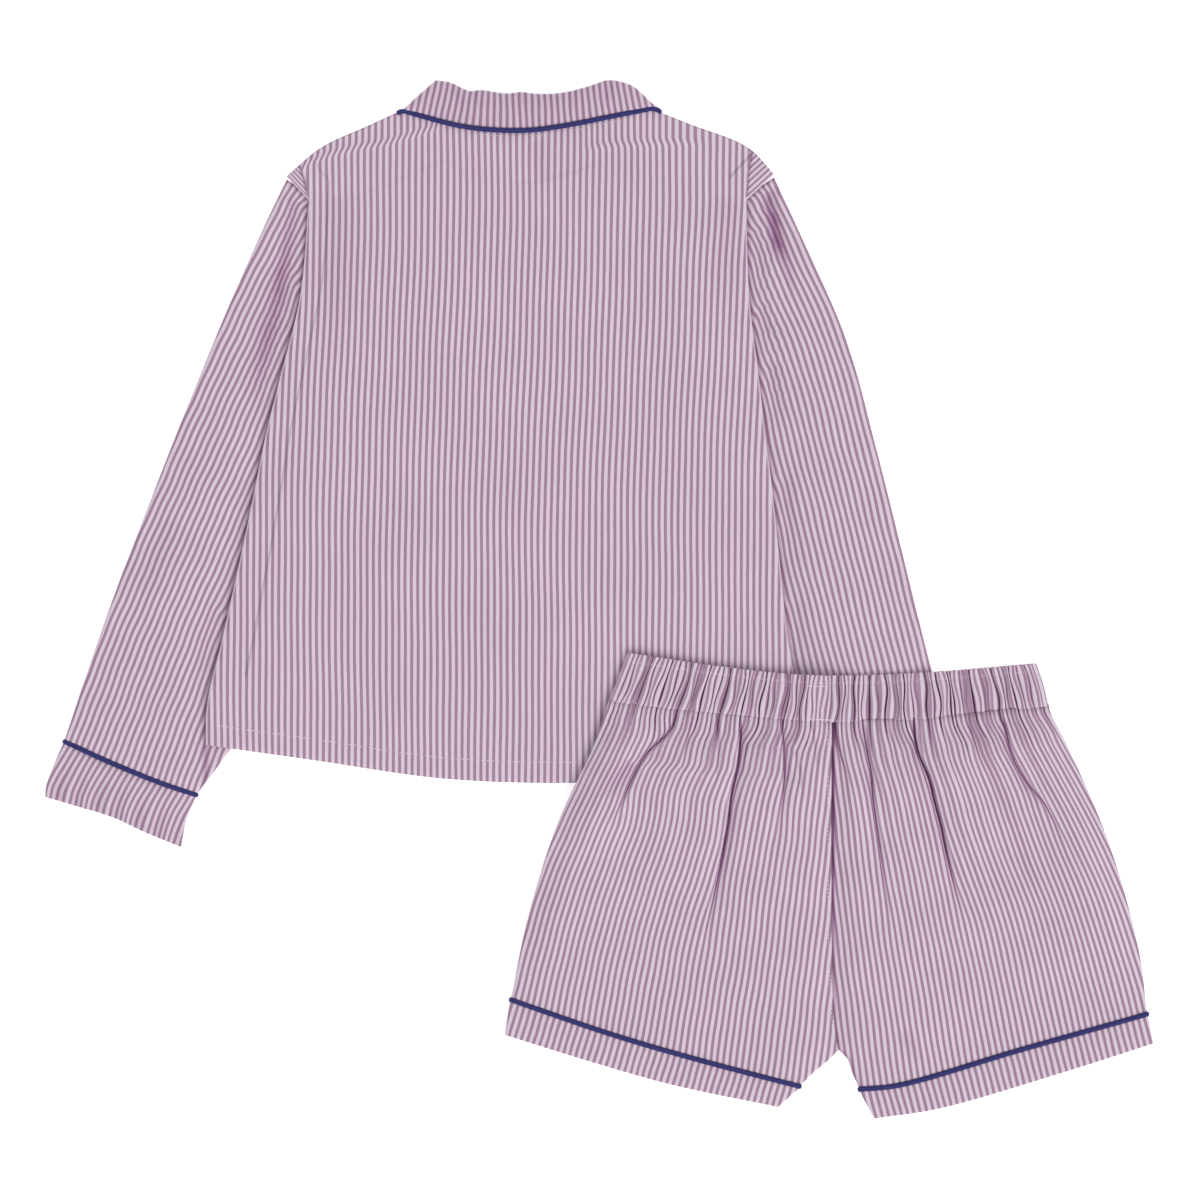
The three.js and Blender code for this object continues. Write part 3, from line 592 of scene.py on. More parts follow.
def makeSatin():
    material, tree, shader = newMaterial("navyCottonSatin")
    vector, along, around, _ = threadCoordinates(tree)
    slant = sums(tree, "MULTIPLY", sums(tree, "ADD", along, around), 2 * math.pi / satin["ribSpacing"])
    rib = sums(tree, "SINE", slant)
    uneven = sums(tree, "SUBTRACT", noise(tree, vector, satin["unevenScale"], 3.0), satin["litFrom"])
    # painted highlight along the slanted floats, made uneven by noise
    share = sums(tree, "MULTIPLY_ADD", rib, satin["ribHighlight"], uneven)
    colour = mixed(tree, share, satin["navy"], satin["lit"], clamp_factor=True)
    bump = addNode(tree, "ShaderNodeBump", {"Height": rib, "Strength": satin["bump"], "Distance": 0.0002})
    fill(tree, shader, {
        "Base Color": colour, "Normal": bump.outputs[0], "Roughness": satin["roughness"],
        "Sheen Weight": satin["sheen"], "Specular IOR Level": satin["gloss"]})
    return material


# Spun polyester sewing thread, two ply: bright, with a fine twist
sewing = {"thread": "#f3ebf1", "twist": 0.5, "twistShade": 0.06, "bump": 0.4, "roughness": 0.6}


def makeThread():
    material, tree, shader = newMaterial("spunPolyesterThread")
    _, x, y, _ = threadCoordinates(tree)
    slant = sums(tree, "MULTIPLY", sums(tree, "ADD", x, y), 2 * math.pi / sewing["twist"])
    twist = sums(tree, "SINE", slant)
    # painted shade in the grooves between the twisted plies
    shade = sums(tree, "MULTIPLY_ADD", twist, sewing["twistShade"], 1 - sewing["twistShade"])
    colour = addNode(tree, "ShaderNodeVectorMath", {0: linear(sewing["thread"])[:3], "Scale": shade},
                     operation="SCALE")
    bump = addNode(tree, "ShaderNodeBump", {"Height": twist, "Strength": sewing["bump"], "Distance": 0.0001})
    fill(tree, shader, {
        "Base Color": colour.outputs[0], "Normal": bump.outputs[0], "Roughness": sewing["roughness"]})
    return material


# Cast polyester resin with pearl essence, turned and polished: milky, with soft cloudy bands under a clear
# gloss
pearl = {
    "milk": "#e9e3ea",
    "cloud": "#cfc6d8",
    "bandWidth": 3.0,            # mm
    "bandSwirl": 1.5,
    "scuffScale": 4.0,
    "bump": 0.1,
    "ior": 1.54,
    "roughness": 0.22,
    "coat": 0.4,
}


def makePearl():
    material, tree, shader = newMaterial("pearlResin")
    vector, *_ = threadCoordinates(tree)
    bands = noise(tree, vector, 1 / pearl["bandWidth"], 4.0, Distortion=pearl["bandSwirl"])
    scuffs = noise(tree, vector, pearl["scuffScale"], 3.0)
    bump = addNode(tree, "ShaderNodeBump", {"Height": scuffs, "Strength": pearl["bump"], "Distance": 0.0001})
    fill(tree, shader, {
        "Base Color": mixed(tree, bands, pearl["milk"], pearl["cloud"]), "Normal": bump.outputs[0],
        "Roughness": pearl["roughness"], "IOR": pearl["ior"], "Coat Weight": pearl["coat"]})
    return material
stripedPoplin = makePoplin()
navyCottonSatin = makeSatin()
spunThread = makeThread()
pearlResin = makePearl()
print("materials made")


# Shirt: edges that several pieces share

shirt = {
    "shoulderTip": {"left": (-218.5, 295.5), "right": (122.5, 297)},
    "neckPoint": {"left": (-113.5, 353), "right": (10, 353)},
    "hemCorner": {"left": (-275, -102), "right": (150, -103.5)},
    "sideLevels": (279, 212, 153, 117, 78, 30, -30, -73),
    "side": {
        "left": (-203, -209, -223.5, -232.5, -240.5, -250.5, -264, -274),
        "right": (103, 105, 112, 116, 121, 126, 132.5, 141),
    },
    "neckMiddle": (-52, 336),
}
shoulder = {
    "left": curve(shirt["shoulderTip"]["left"], (-194.5, 315.5), (-158, 332.5), shirt["neckPoint"]["left"]),
    "right": curve(shirt["shoulderTip"]["right"], (104.5, 315.5), (62.5, 332.5), shirt["neckPoint"]["right"]),
}
hem = curve(shirt["hemCorner"]["left"], (-201.5, -112.5), (-104.5, -126), (0, -128), (63.5, -121),
            shirt["hemCorner"]["right"])
sideEdge = {
    side: np.vstack([[shirt["shoulderTip"][side]],
                     curve(*zip(shirt["side"][side], shirt["sideLevels"]), shirt["hemCorner"][side])])
    for side in ("left", "right")
}


def clearOfBody(side, points):
    # how far a point lies outside the shirt's side edge
    edge = sideEdge[side][::-1]
    edgeX = np.interp(points[..., 1], edge[:, 1], edge[:, 0])
    return edgeX - points[..., 0] if side == "left" else points[..., 0] - edgeX


# Sleeves: flattened tubes, swung down and tucked under the sides
sleeveEdges = {
    "left": {
        "head": curve((-218.5, 293.5), (-197.5, 277), (-196.5, 209.5), (-188.5, 139.5)),
        "outer": curve((-218.5, 293.5), (-236, 257), (-265.5, 189.5), (-306, 89), (-344.5, -12), (-374, -99)),
        "inner": curve((-188.5, 139.5), (-164, 97.5), (-174.5, 41.5), (-209.5, -28.5), (-257.5, -104.5),
                       (-281.5, -137)),
        "seam": curve((-374.3, -99.5), (-342.5, -114), (-304.5, -129.5), (-281.3, -137.3)),
        "cuffOuter": curve((-374, -99), (-380, -112.5), (-386.5, -129.5), (-387.5, -138.5)),
        "cuffInner": curve((-281.5, -137), (-288.5, -154.5), (-292.5, -173.5)),
        "cuffEnd": curve((-387.5, -138.5), (-363.5, -145.5), (-339.5, -153), (-318, -163), (-292.5, -173.5)),
    },
    "right": {
        "head": curve((122.5, 295), (98, 275), (97, 208), (87, 139.5)),
        "outer": curve((122.5, 295), (144, 248.5), (173, 181.5), (194, 105.5), (219, 5), (247, -108)),
        "inner": curve((87, 139.5), (62, 97.5), (70, 41.5), (100, -28.5), (138, -104.5), (150.5, -131.5)),
        "seam": curve((247.3, -108.3), (215, -115), (176, -125.5), (150.2, -132)),
        "cuffOuter": curve((247, -108), (253, -128), (257, -147.5)),
        "cuffInner": curve((150.5, -131.5), (156, -152), (160.5, -172)),
        "cuffEnd": curve((257, -147.5), (225, -154), (190, -163), (160.5, -172)),
    },
}
sleeve = {
    "puff": 1.6,
    "puffsFrom": (2, 22),       # mm out from under the body
    "length": 420,
    "rows": 170,
    "columns": 46,
    "smoothing": (9, 3, 8, 6),      # as solidTop takes it
    "leastHeight": 1.4,
    "pressed": 0.6,             # lower by this under the body
    "flatAtSeam": 9,
    "waves": 0.35,
    "waveLength": 46,
    "deepest": 2.9,
    "cut": {"width": 0.262, "length": 0.42, "area": 0.094},
    "folds": {
        "left": [
            fold(2.2, (-211, 284), (-214, 262), (-218, 240), (-222, 200), spread=(5, 4.5), hides=3,
                 shade=1.5, fadeOut=0.4),
            fold(1.7, (-216, 238), (-223, 205), (-232, 170), (-240, 105), spread=(8, 6), hides=3, shade=1.3),
            fold(1, (-243, 90), (-252, 40), (-262, 5), spread=(6, 5), hides=1),
            fold(1.2, (-268, 0), (-276, -40), (-281, -75), spread=(6, 4), hides=2),
            fold(0.5, (-300, 60), (-316, 10), (-322, -30), spread=(7, 9)),
        ],
        "right": [
            fold(2.4, (116, 290), (119, 272), (123, 252), (126, 232), spread=(4, 5), hides=2, shade=1.5,
                 fadeOut=0.4),
            fold(1.8, (121, 272), (127, 248), (134, 224), (141, 202), spread=(3, 3), hides=1, shade=0.9),
            fold(1.4, (107, 262), (112, 238), (117, 212), spread=(4, 3), hides=1, shade=1),
            fold(2.2, (111, 206), (115, 194), (121, 180), spread=(3.5, 3.5), hides=2),
            fold(1.6, (118, 168), (121, 140), (126, 115), spread=(6, 6), hides=2),
            fold(1.4, (127, 88), (131, 50), (134, 10), spread=(6, 6), hides=2),
            fold(1.2, (134, 0), (137, -22), (140, -46), spread=(5, 6), hides=1),
        ],
    },
    # painted shade in the folds goes no darker than this
    "darkest": 0.75,
    "paintedBodyShadow": 0.5,          # painted shadow beside the body: its tone, and how far it reaches
    "shadeReach": 2.2,
    "firstStripe": 1.1,
    "lean": {"left": 0.045, "right": 0.0},      # stripes against the outer fold
    "sway": 0.5,
    "swayLength": 60,
    "armhole": 40,              # of the side edge's steps; the sleeve's fullness is eased in along them
    "puckerReach": 13,
    "puckerSpacing": 9,
    "puckerHeight": 0.5,
    "puckerSway": 1.3,
}


def makeSleeve(side):
    edges = sleeveEdges[side]
    turn = 1 if side == "left" else -1
    across = tubeShares(sleeve["columns"], lengthsAlong(edges["seam"])[-1])
    down = even(sleeve["rows"])
    points = net(trace(edges["head"], across), traceBeside(edges["seam"], turn * piping["under"], across),
                 trace(edges["outer"], down), trace(edges["inner"], down), across, down)
    top = solidTop(f"sleeve_{side}", points, *sleeve["smoothing"])
    clear = clearOfBody(side, points)
    outside = rise(*sleeve["puffsFrom"], clear)
    fromCuff = (1 - down)[:, None] * sleeve["length"]
    depth, hidden, shade = foldsAt(points, sleeve["folds"][side])
    armhole = sideEdge[side][:sleeve["armhole"]]
    fromArmhole, share = beside(points, armhole)
    pucker = (np.sin(share * lengthsAlong(armhole)[-1] / sleeve["puckerSpacing"] * 2 * math.pi)
              * bell(fromArmhole, sleeve["puckerReach"]))
    puff = sleeve["puff"] * outside * rise(0, sleeve["flatAtSeam"], fromCuff)
    waves = sleeve["waves"] * slowWaves(points, sleeve["waveLength"], 1.3) + sleeve["puckerHeight"] * pucker
    top = top + puff * (1 + waves) - np.minimum(depth, sleeve["deepest"]) * rise(0, 8, clear)
    top = np.maximum(top - sleeve["pressed"] * (1 - rise(-3, 0, clear)), sleeve["leastHeight"])
    # stripes keep their distance from the outer fold
    fromOuter, along = beside(points, edges["outer"])
    across = np.abs(fromOuter) + np.cumsum(hidden * np.gradient(np.abs(fromOuter), axis=1), axis=1)
    across = across + sleeve["sway"] * slowWaves(points, sleeve["swayLength"], 0.4)
    across = across + sleeve["puckerSway"] * pucker * outside
    along = along * sleeve["length"]
    across += sleeve["lean"][side] * along
    # painted shade in the folds, and a painted shadow beside the body
    tone = (np.minimum(shade, sleeve["darkest"]) * outside
            + sleeve["paintedBodyShadow"] * bell(clear, sleeve["shadeReach"]))
    piece = clothTube(f"sleeve{side.title()}", f"sleeve_{side}", points, top, np.zeros_like(top),
                      threadOf(across + sleeve["firstStripe"], along, tone))
    return sewnFrom(piece)


# Cuffs: straight bands, all round, softly rippled at their open end
cuff = {
    "depth": 37,
    "rows": 24,
    "columns": 54,
    "smoothing": (5, 12, 8, 6),
    "leastHeight": 1.5,
    "roundness": 2,
    "puff": 0.5,
    "ripple": 0.9,
    "rippleLength": 15,
    "rippleWander": 31,
    "underShorts": 0.15,     # how much of its puff the right cuff keeps, under the shorts
    "bend": 0.9,             # mm that the ripples carry the stripes sideways
    "lean": 0.13,
    "closeness": 1.06,       # the cuff is a little eased, so its stripes stand closer
    "firstStripe": 1.1,
    "shade": 0.1,
    "cut": {"width": 0.23, "length": 0.04},
}


def makeCuff(side):
    edges = sleeveEdges[side]
    turn = -1 if side == "left" else 1
    across = tubeShares(cuff["columns"], lengthsAlong(edges["seam"])[-1])
    shares = even(cuff["rows"])
    down = shares[:, None]
    points = net(traceBeside(edges["seam"], turn * piping["under"], across), trace(edges["cuffEnd"], across),
                 trace(edges["cuffOuter"], shares), trace(edges["cuffInner"], shares), across, shares)
    top = solidTop(f"cuff_{side}", points, *cuff["smoothing"])
    distance = across[None] * lengthsAlong(edges["cuffEnd"])[-1]
    turns = distance / cuff["rippleLength"] * math.pi
    wave = np.sin(2 * turns + 0.8 + 1.1 * np.sin(distance / cuff["rippleWander"]))
    clear = rise(0, 12, clearOfBody(side, points)) if side == "left" else cuff["underShorts"]
    opened = rise(0, 1, down)
    puff = (cuff["puff"] + cuff["ripple"] * opened * (1 + wave)) * clear * rise(0, 0.2, down)
    bend = cuff["bend"] * opened * np.sin(turns + 0.5) * rise(0, 0.5, down)
    stripes = cuff["closeness"] * distance + bend + cuff["lean"] * cuff["depth"] * down + cuff["firstStripe"]
    # painted shade in the troughs of the ripples, more towards the open end
    thread = threadOf(stripes, down * cuff["depth"] + 0 * distance, cuff["shade"] * opened * (1 - wave))
    top = np.maximum(top + puff, cuff["leastHeight"])
    piece = clothTube(f"cuff{side.title()}", f"cuff_{side}", points, top, np.zeros_like(top), thread,
                      roundness=cuff["roundness"])
    return sewnFrom(piece)


for side in sleeveEdges:
    makeSleeve(side)
for side in sleeveEdges:
    makeCuff(side)
for side, edges in sleeveEdges.items():
    pipingRound(f"cuffPiping{side.title()}", f"cuff_piping_{side}", edges["seam"])
print("sleeves, cuffs and their piping made")


# Fronts: face down under the back, lapped at the centre; nothing of them shows from above
front = {
    "lap": 28,
    "neckBottom": 248,
    "centre": {"top": -56.5, "hem": -61},
    "hemLevel": -127,
    "lapShare": {"left": (0, 0.54), "right": (1, 0.47)},
    "columns": 46,
    "rows": 90,
    "smoothing": (4, 3),
    "cut": {"width": 0.225, "length": 0.475, "area": 0.086},
}


def makeFront(side):
    lap = front["lap"] / 2 * (1 if side == "left" else -1)
    edge = curve((front["centre"]["top"] + lap, front["neckBottom"]),
                 (front["centre"]["hem"] + lap, front["hemLevel"]))
    neckline = np.vstack([curve(shirt["neckPoint"][side], tuple(edge[0])), edge[1:]])
    across, down = even(front["columns"]), even(front["rows"])
    start, end = front["lapShare"][side]
    points = net(trace(shoulder[side], across), trace(hem, start + across * (end - start)),
                 trace(sideEdge[side], down), trace(neckline, down), across, down)
    node = f"front_{side}"
    piece = clothLayer(f"front{side.title()}", node, points, solidTop(node, points, *front["smoothing"]),
                       threadOf(points[..., 0], points[..., 1]))
    return sewnFrom(piece)


# Back: one panel, pressed smooth, with the small pleats at the armholes and the shoulders rolled forward
back = {
    "wideSpacing": 3,
    "fineSpacing": 0.7,      # beside the sides and at the shoulders, where the pleats are
    "fineWidth": 21,
    "fineRows": 45,
    "smoothing": (20, 40),
    "waves": 0.35,
    "waveLength": 85,
    "sideDrop": 0.7,         # over the last few mm before the side
    "sideWidth": 3.2,
    "sideLight": 0.9,        # painted highlight along the side edges, full to the first of these and gone at the second
    "lightWidth": (0.5, 1.4),
    "shade": 0.6,
    "sway": 0.5,
    "swayLength": 150,
    "cut": {"width": 0.425, "length": 0.475, "area": 0.167},
    "hemDepth": 14.7,
    "hemPress": 0.25,
    "hemWidth": 0.9,
    "folds": [
        fold(0.9, (-184, 290), (-187, 210), (-188, 140), spread=(12, 15)),
        fold(0.9, (88, 286), (87, 240), (86, 180), spread=(11, 13)),
        fold(0.22, (-66, 190), (-66, 50), (-65, -98), spread=(1.6, 1.6), fadeOut=0.2),
        fold(0.16, (1, 140), (1, 50), (0, -29), spread=(2, 2)),
        fold(0.16, (-178, 84), (-179, 0), (-180, -71), spread=(2, 2)),
        fold(0.8, (-47, 322), (-42, 305), (-38, 284), spread=(6, 8)),
    ],
    # where the shoulders roll to the front: the stripes step aside there by a few mm
    "rolls": [
        {"line": [(-207, 300), (-201, 304), (-187, 309), (-169, 313.5), (-148, 317), (-135, 321),
                  (-113, 328)],
         "reach": (-240, -230, -119, -108), "shift": 3.1},
        {"line": [(-6, 313), (9, 316), (51, 317)], "reach": (-16, 6, 48, 84), "shift": -2.2},
    ],
    "rollOver": (-1, 6),
    "rollHeight": 0.45,
    "rollWidth": 2.5,
    "pull": {"across": (36, 95), "up": (230, 286), "shift": 3},      # towards the right armhole
    "lean": {"up": (40, 280), "shift": 7},
    "pleats": {
        "left": {"crease": [(-203, 279), (-205.5, 291), (-209.5, 304)], "crowding": 1.85},
        "right": {"crease": [(103, 279), (104, 297), (106.5, 311)], "crowding": 1.35},
    },
    "pleatAt": 0.4,
    "pleatWidth": 0.8,
    "pleatDepth": 0.8,
    "pleatShade": 0.6,
}
neckCurve = curve(shirt["neckPoint"]["left"], (-83.5, 341), shirt["neckMiddle"], (-20.5, 341),
                  shirt["neckPoint"]["right"])


def backShares(topEdge):
    width, length = lengthsAlong(topEdge)[-1], lengthsAlong(sideEdge["left"])[-1]
    fine = np.arange(0, back["fineWidth"], back["fineSpacing"]) / width
    start = back["fineWidth"] / width
    wide = np.linspace(start, 1 - start, int(width / back["wideSpacing"]))
    fineDown = np.arange(0, back["fineRows"], 2 * back["fineSpacing"]) / length
    wideDown = np.linspace(back["fineRows"] / length, 1, int(length / back["wideSpacing"]))
    return np.concatenate([fine, wide, 1 - fine[::-1]]), np.concatenate([fineDown, wideDown])


def makeBack():
    topEdge = np.vstack([shoulder["left"], neckCurve[1:], shoulder["right"][::-1][1:]])
    across, down = backShares(topEdge)
    points = net(trace(topEdge, across), trace(hem, across), trace(sideEdge["left"], down),
                 trace(sideEdge["right"], down), across, down)
    top = solidTop("back", points, *back["smoothing"])
    depth, _, shade = foldsAt(points, back["folds"])
    x, y = points[..., 0], points[..., 1]
    inside = np.minimum(*(np.abs(beside(points, sideEdge[side])[0]) for side in ("left", "right")))
    top = (top + back["waves"] * slowWaves(points, back["waveLength"], 0.6) * rise(4, 40, inside) - depth
           - back["sideDrop"] * (1 - rise(0, back["sideWidth"], inside)))
    # painted shade in the folds
    tone = back["shade"] * shade
    pull, lean = back["pull"], back["lean"]
    stripes = (x + back["sway"] * slowWaves(points, back["swayLength"], 2.0)
               - lean["shift"] * rise(*lean["up"], y)
               - pull["shift"] * rise(*pull["across"], x) * rise(*pull["up"], y))
    for roll in back["rolls"]:
        above = y - np.interp(x, *zip(*roll["line"]))
        start, full, fades, end = roll["reach"]
        window = rise(start, full, x) * (1 - rise(fades, end, x))
        stripes -= roll["shift"] * window * rise(*back["rollOver"], above)
        top += back["rollHeight"] * window * bell(above - 2, back["rollWidth"])
    # the pleat beside each armhole: cloth turned under, its stripes aslant beside the seam
    for side, sign in (("left", 1), ("right", -1)):
        pleat = back["pleats"][side]
        fromSeam = np.abs(beside(points, np.array([shirt["shoulderTip"][side], sideEdge[side][1]]))[0])
        beyond = sign * (np.interp(y, *zip(*[point[::-1] for point in pleat["crease"]])) - x)
        inPleat = (beyond > 0) & (y > shirt["sideLevels"][0] - 1)
        stripes = np.where(inPleat, sign * pleat["crowding"] * fromSeam, stripes)
        crease = bell(beyond - back["pleatAt"], back["pleatWidth"]) * (y > shirt["sideLevels"][0] - 3)
        top -= back["pleatDepth"] * crease
        # painted shade in the pleat's crease
        tone += back["pleatShade"] * crease
    fromHem, _ = beside(points, hem)
    top -= back["hemPress"] * bell(np.abs(fromHem) - back["hemDepth"], back["hemWidth"])
    # painted highlight along the side edges
    start, end = back["lightWidth"]
    tone = np.where(inside < end + 0.2, -back["sideLight"] * (1 - rise(start, end, inside)), tone)
    piece = clothLayer("backPanel", "back", points, top, threadOf(stripes, y, tone))
    return sewnFrom(piece)


for side in ("right", "left"):
    makeFront(side)
backPiece = makeBack()
print("shirt body made")


# Collar: the fall turns down over the stand at the back neck; a leaf on each side lies face down in front
collar = {
    "fold": joined(curve((-137, 342), (-129.5, 349.3), (-114.2, 362.8)),
                   curve((-114.2, 362.8), (-104, 361.3), (-90.5, 355.3), (-83, 356), (-65, 353.7),
                         (-54, 354.8), (-45, 353.6), (-27.5, 354), (-10.5, 357.7), (4.5, 362.8)),
                   curve((4.5, 362.8), (10, 362.8), (23.5, 358.9), (34.3, 349.5), (40, 344.2))),
    "edge": curve((-139.5, 340), (-131, 339.6), (-110, 333.6), (-96, 330.4), (-76.5, 328), (-51, 327.5),
                  (-26, 330.5), (18, 339.2), (28.7, 341.3), (37, 342.6), (43, 341.5)),
    "piping": curve((-141.4, 338.8), (-139, 340.6), (-135.8, 341), (-131, 339.6), (-110, 333.6), (-96, 330.4),
                    (-76.5, 328), (-51, 327.5), (-26, 330.5), (18, 339.2), (28.7, 341.3), (37, 342.8),
                    (40.6, 342.2), (43.8, 339.9)),
    "standFold": curve((-111, 359), (-90.5, 352), (-52, 350.5), (-12, 354), (8, 359)),
    "wall": 0.9,             # two cloths and an interlining
    "standWall": 0.8,
    "columns": 150,
    "rows": 20,
    "inset": 0.006,          # share of the edge left free at each end
    "width": 186,
    "middle": 345,
    "leanAt": (-118, -97, -80, -55, -20, 0, 29),       # the turned cloth fans its stripes out
    "lean": (12, 11, 3, -2.5, -4, -8, -11),            # degrees
    "sway": 0.3,
    "swayLength": 40,
    "puff": 0.9,
    "rollWidth": 3,          # mm over which its top edge rolls down, and how far
    "rollDrop": 2.0,
    "endDrop": 0.7,
    "endWidth": 2.5,
    "footDrop": 0.5,
    # painted shade over the whole fall, and a painted highlight where its top edge rolls
    "shade": 0.12,
    "rollLight": 0.25,
    "fallCut": {"width": 0.19, "length": 0.03},
    "standCut": {"width": 0.13, "length": 0.024, "area": 0.0015},
    "leafCut": {"width": 0.06, "length": 0.11, "area": 0.0032},
    "folds": [
        fold(0.8, (-88, 356), (-86, 349), (-84, 341), spread=(2, 2)),
        fold(0.8, (-54, 355), (-53, 349), (-52, 343), spread=(1.8, 1.8)),
        fold(0.7, (-104, 362), (-99, 352), (-92, 340), spread=(3, 4)),
        fold(0.7, (8, 362), (6, 352), (2, 342), spread=(4, 3)),
        fold(0.5, (-18, 355), (-19, 348), (-21, 340), spread=(2, 2)),
    ],
}
collarLeaf = {
    "left": {
        "edge": curve((-138, 338), (-125, 309), (-107, 282.5), (-98, 276), (-66, 269)),
        "fold": curve((-115, 359), (-92, 318), (-66, 273)),
        "top": curve((-134, 342), (-115, 359)),
    },
    "right": {
        "edge": curve((42, 338.5), (25, 309), (5, 282.5), (-4, 276), (-37, 269)),
        "fold": curve((11, 359), (-12, 318), (-37, 273)),
        "top": curve((38, 343), (11, 359)),
    },
}


def makeFall():
    across, shares = even(collar["columns"]), even(collar["rows"])
    down = shares[:, None]
    foot = traceBeside(collar["edge"], piping["under"], collar["inset"] + across * (1 - 2 * collar["inset"]))
    head = trace(collar["fold"], across)
    points = rowsBetween(head, foot, shares)
    depth, _, shade = foldsAt(points, collar["folds"])
    fromTop = down * np.linalg.norm(foot - head, axis=1)
    rolled = 1 - np.sqrt(1 - (1 - np.clip(fromTop / collar["rollWidth"], 0, 1)) ** 2)
    ends = np.minimum(across, 1 - across)[None] * collar["width"]
    dome = collar["puff"] * np.sin(down * math.pi) * rise(0, 12, ends)
    top = (solidTop("collar_fall", points, 3, 10) + dome - depth - collar["rollDrop"] * rolled
           - collar["endDrop"] * (1 - rise(0, collar["endWidth"], ends))
           - collar["footDrop"] * rise(0.86, 1, down))
    x, y = points[..., 0], points[..., 1]
    lean = np.tan(np.radians(np.interp(x, collar["leanAt"], collar["lean"])))
    stripes = x - lean * (y - collar["middle"]) + collar["sway"] * slowWaves(points, collar["swayLength"], 3)
    # painted shade over the fall and in its folds, and a painted highlight on the rolled top edge
    thread = threadOf(stripes, y, collar["shade"] + shade - collar["rollLight"] * rolled)
    piece = clothLayer("collarFall", "collar_fall", points, top, thread, collar["wall"])
    return sewnFrom(piece)


def makeStand():
    across = even(60)
    points = rowsBetween(trace(collar["standFold"], across), traceBeside(neckCurve, 0.3, across), even(10))
    top = solidTop("collar_stand", points, 2, 4)
    piece = clothLayer("collarStand", "collar_stand", points, top, threadOf(points[..., 0], points[..., 1]),
                       collar["standWall"])
    return sewnFrom(piece)


def makeLeaf(side):
    parts = collarLeaf[side]
    inward = piping["under"] * (1 if side == "left" else -1)
    across, down = even(20), even(36)
    corner = 0.6            # of the way along the edge
    foot = traceBeside(parts["edge"], inward, corner + (1 - corner) * across)
    outer = traceBeside(parts["edge"], inward, corner * down)
    points = net(trace(parts["top"], across), foot, outer, trace(parts["fold"], down), across, down)
    node = f"collar_leaf_{side}"
    piece = clothLayer(f"collarLeaf{side.title()}", node, points, solidTop(node, points, 2, 2),
                       threadOf(points[..., 0], points[..., 1]), collar["wall"])
    sewnFrom(piece)
    pipingAlong(f"collarPiping{side.title()}", f"collar_piping_{side}", parts["edge"], 60)


makeStand()
makeFall()
pipingAlong("collarPipingBack", "collar_piping_back", collar["piping"], 180)
for side in collarLeaf:
    makeLeaf(side)
print("collar made")


# Buttons: four holes, a raised rim and a dished middle, face down
button = {
    "diameter": 11.5,
    "height": 2,
    "sides": 48,
    "hole": 0.85,
    "holes": 4,
    "holeApart": 1.6,
    "holeSides": 16,
    "centreX": (-56.5, -61),
    "first": 232,
    "apart": 77,
    # its section from the middle out and back: shares of the diameter and of the height
    "rings": (0, 0.14, 0.24, 0.32, 0.4, 0.46, 0.5, 0.5, 0.46, 0.4, 0.3, 0.2, 0.1, 0),
    "levels": (0.42, 0.42, 0.4, 0.3, 0.04, 0, 0.22, 0.7, 0.96, 1, 0.99, 0.98, 0.97, 0.97),
}


def buttonHoles(x, y):
    cutter = bmesh.new()
    for k in range(button["holes"]):
        angle = (k + 0.5) / button["holes"] * 2 * math.pi
        made = bmesh.ops.create_cone(cutter, cap_ends=True, segments=button["holeSides"], depth=0.006,
                                     radius1=button["hole"] / 1000, radius2=button["hole"] / 1000)
        out = button["holeApart"] * np.array([math.cos(angle), math.sin(angle), 0])
        bmesh.ops.translate(cutter, verts=made["verts"], vec=(np.array([x, y, 1]) + out + layShift) / 1000)
    mesh = bpy.data.meshes.new("holes")
    cutter.to_mesh(mesh)
    cutter.free()
    tool = bpy.data.objects.new("holes", mesh)
    bpy.context.scene.collection.objects.link(tool)
    return tool


def makeButton(number):
    y = button["first"] - (number - 1) * button["apart"]
    top, bottom = button["centreX"]
    neckBottom, hemLevel = front["neckBottom"], shirt["hemCorner"]["left"][1]
    x = top + (bottom - top) * (neckBottom - y) / (neckBottom - hemLevel)
    turns = np.arange(button["sides"]) / button["sides"] * 2 * math.pi
    radius = np.array(button["rings"])[:, None] * button["diameter"]
    level = np.array(button["levels"])[:, None] * button["height"]
    ring = np.dstack([x + radius * np.cos(turns), y + radius * np.sin(turns), level + 0 * turns])
    faces = gridFaces(np.arange(radius.size * turns.size).reshape(radius.size, turns.size), True).tolist()
    verts = ring.reshape(-1, 3)
    piece = addPiece(f"button{number}", verts, faces, verts, pearlResin, [f"button_{number}"])
    # the doubled points at the middle are joined, then the four holes are cut through
    body = bmesh.new()
    body.from_mesh(piece.data)
    bmesh.ops.remove_doubles(body, verts=body.verts, dist=1e-6)
    bmesh.ops.recalc_face_normals(body, faces=body.faces)
    body.to_mesh(piece.data)
    body.free()
    tool = buttonHoles(x, y)
    cut = piece.modifiers.new("holes", "BOOLEAN")
    cut.object, cut.operation, cut.solver = tool, "DIFFERENCE", "EXACT"
    done = bpy.data.meshes.new_from_object(piece.evaluated_get(bpy.context.evaluated_depsgraph_get()))
    piece.modifiers.clear()
    piece.data = done
    bpy.data.objects.remove(tool)


for number in range(1, 6):
    makeButton(number)
print("buttons made")


# Shorts: edges, folds and legs

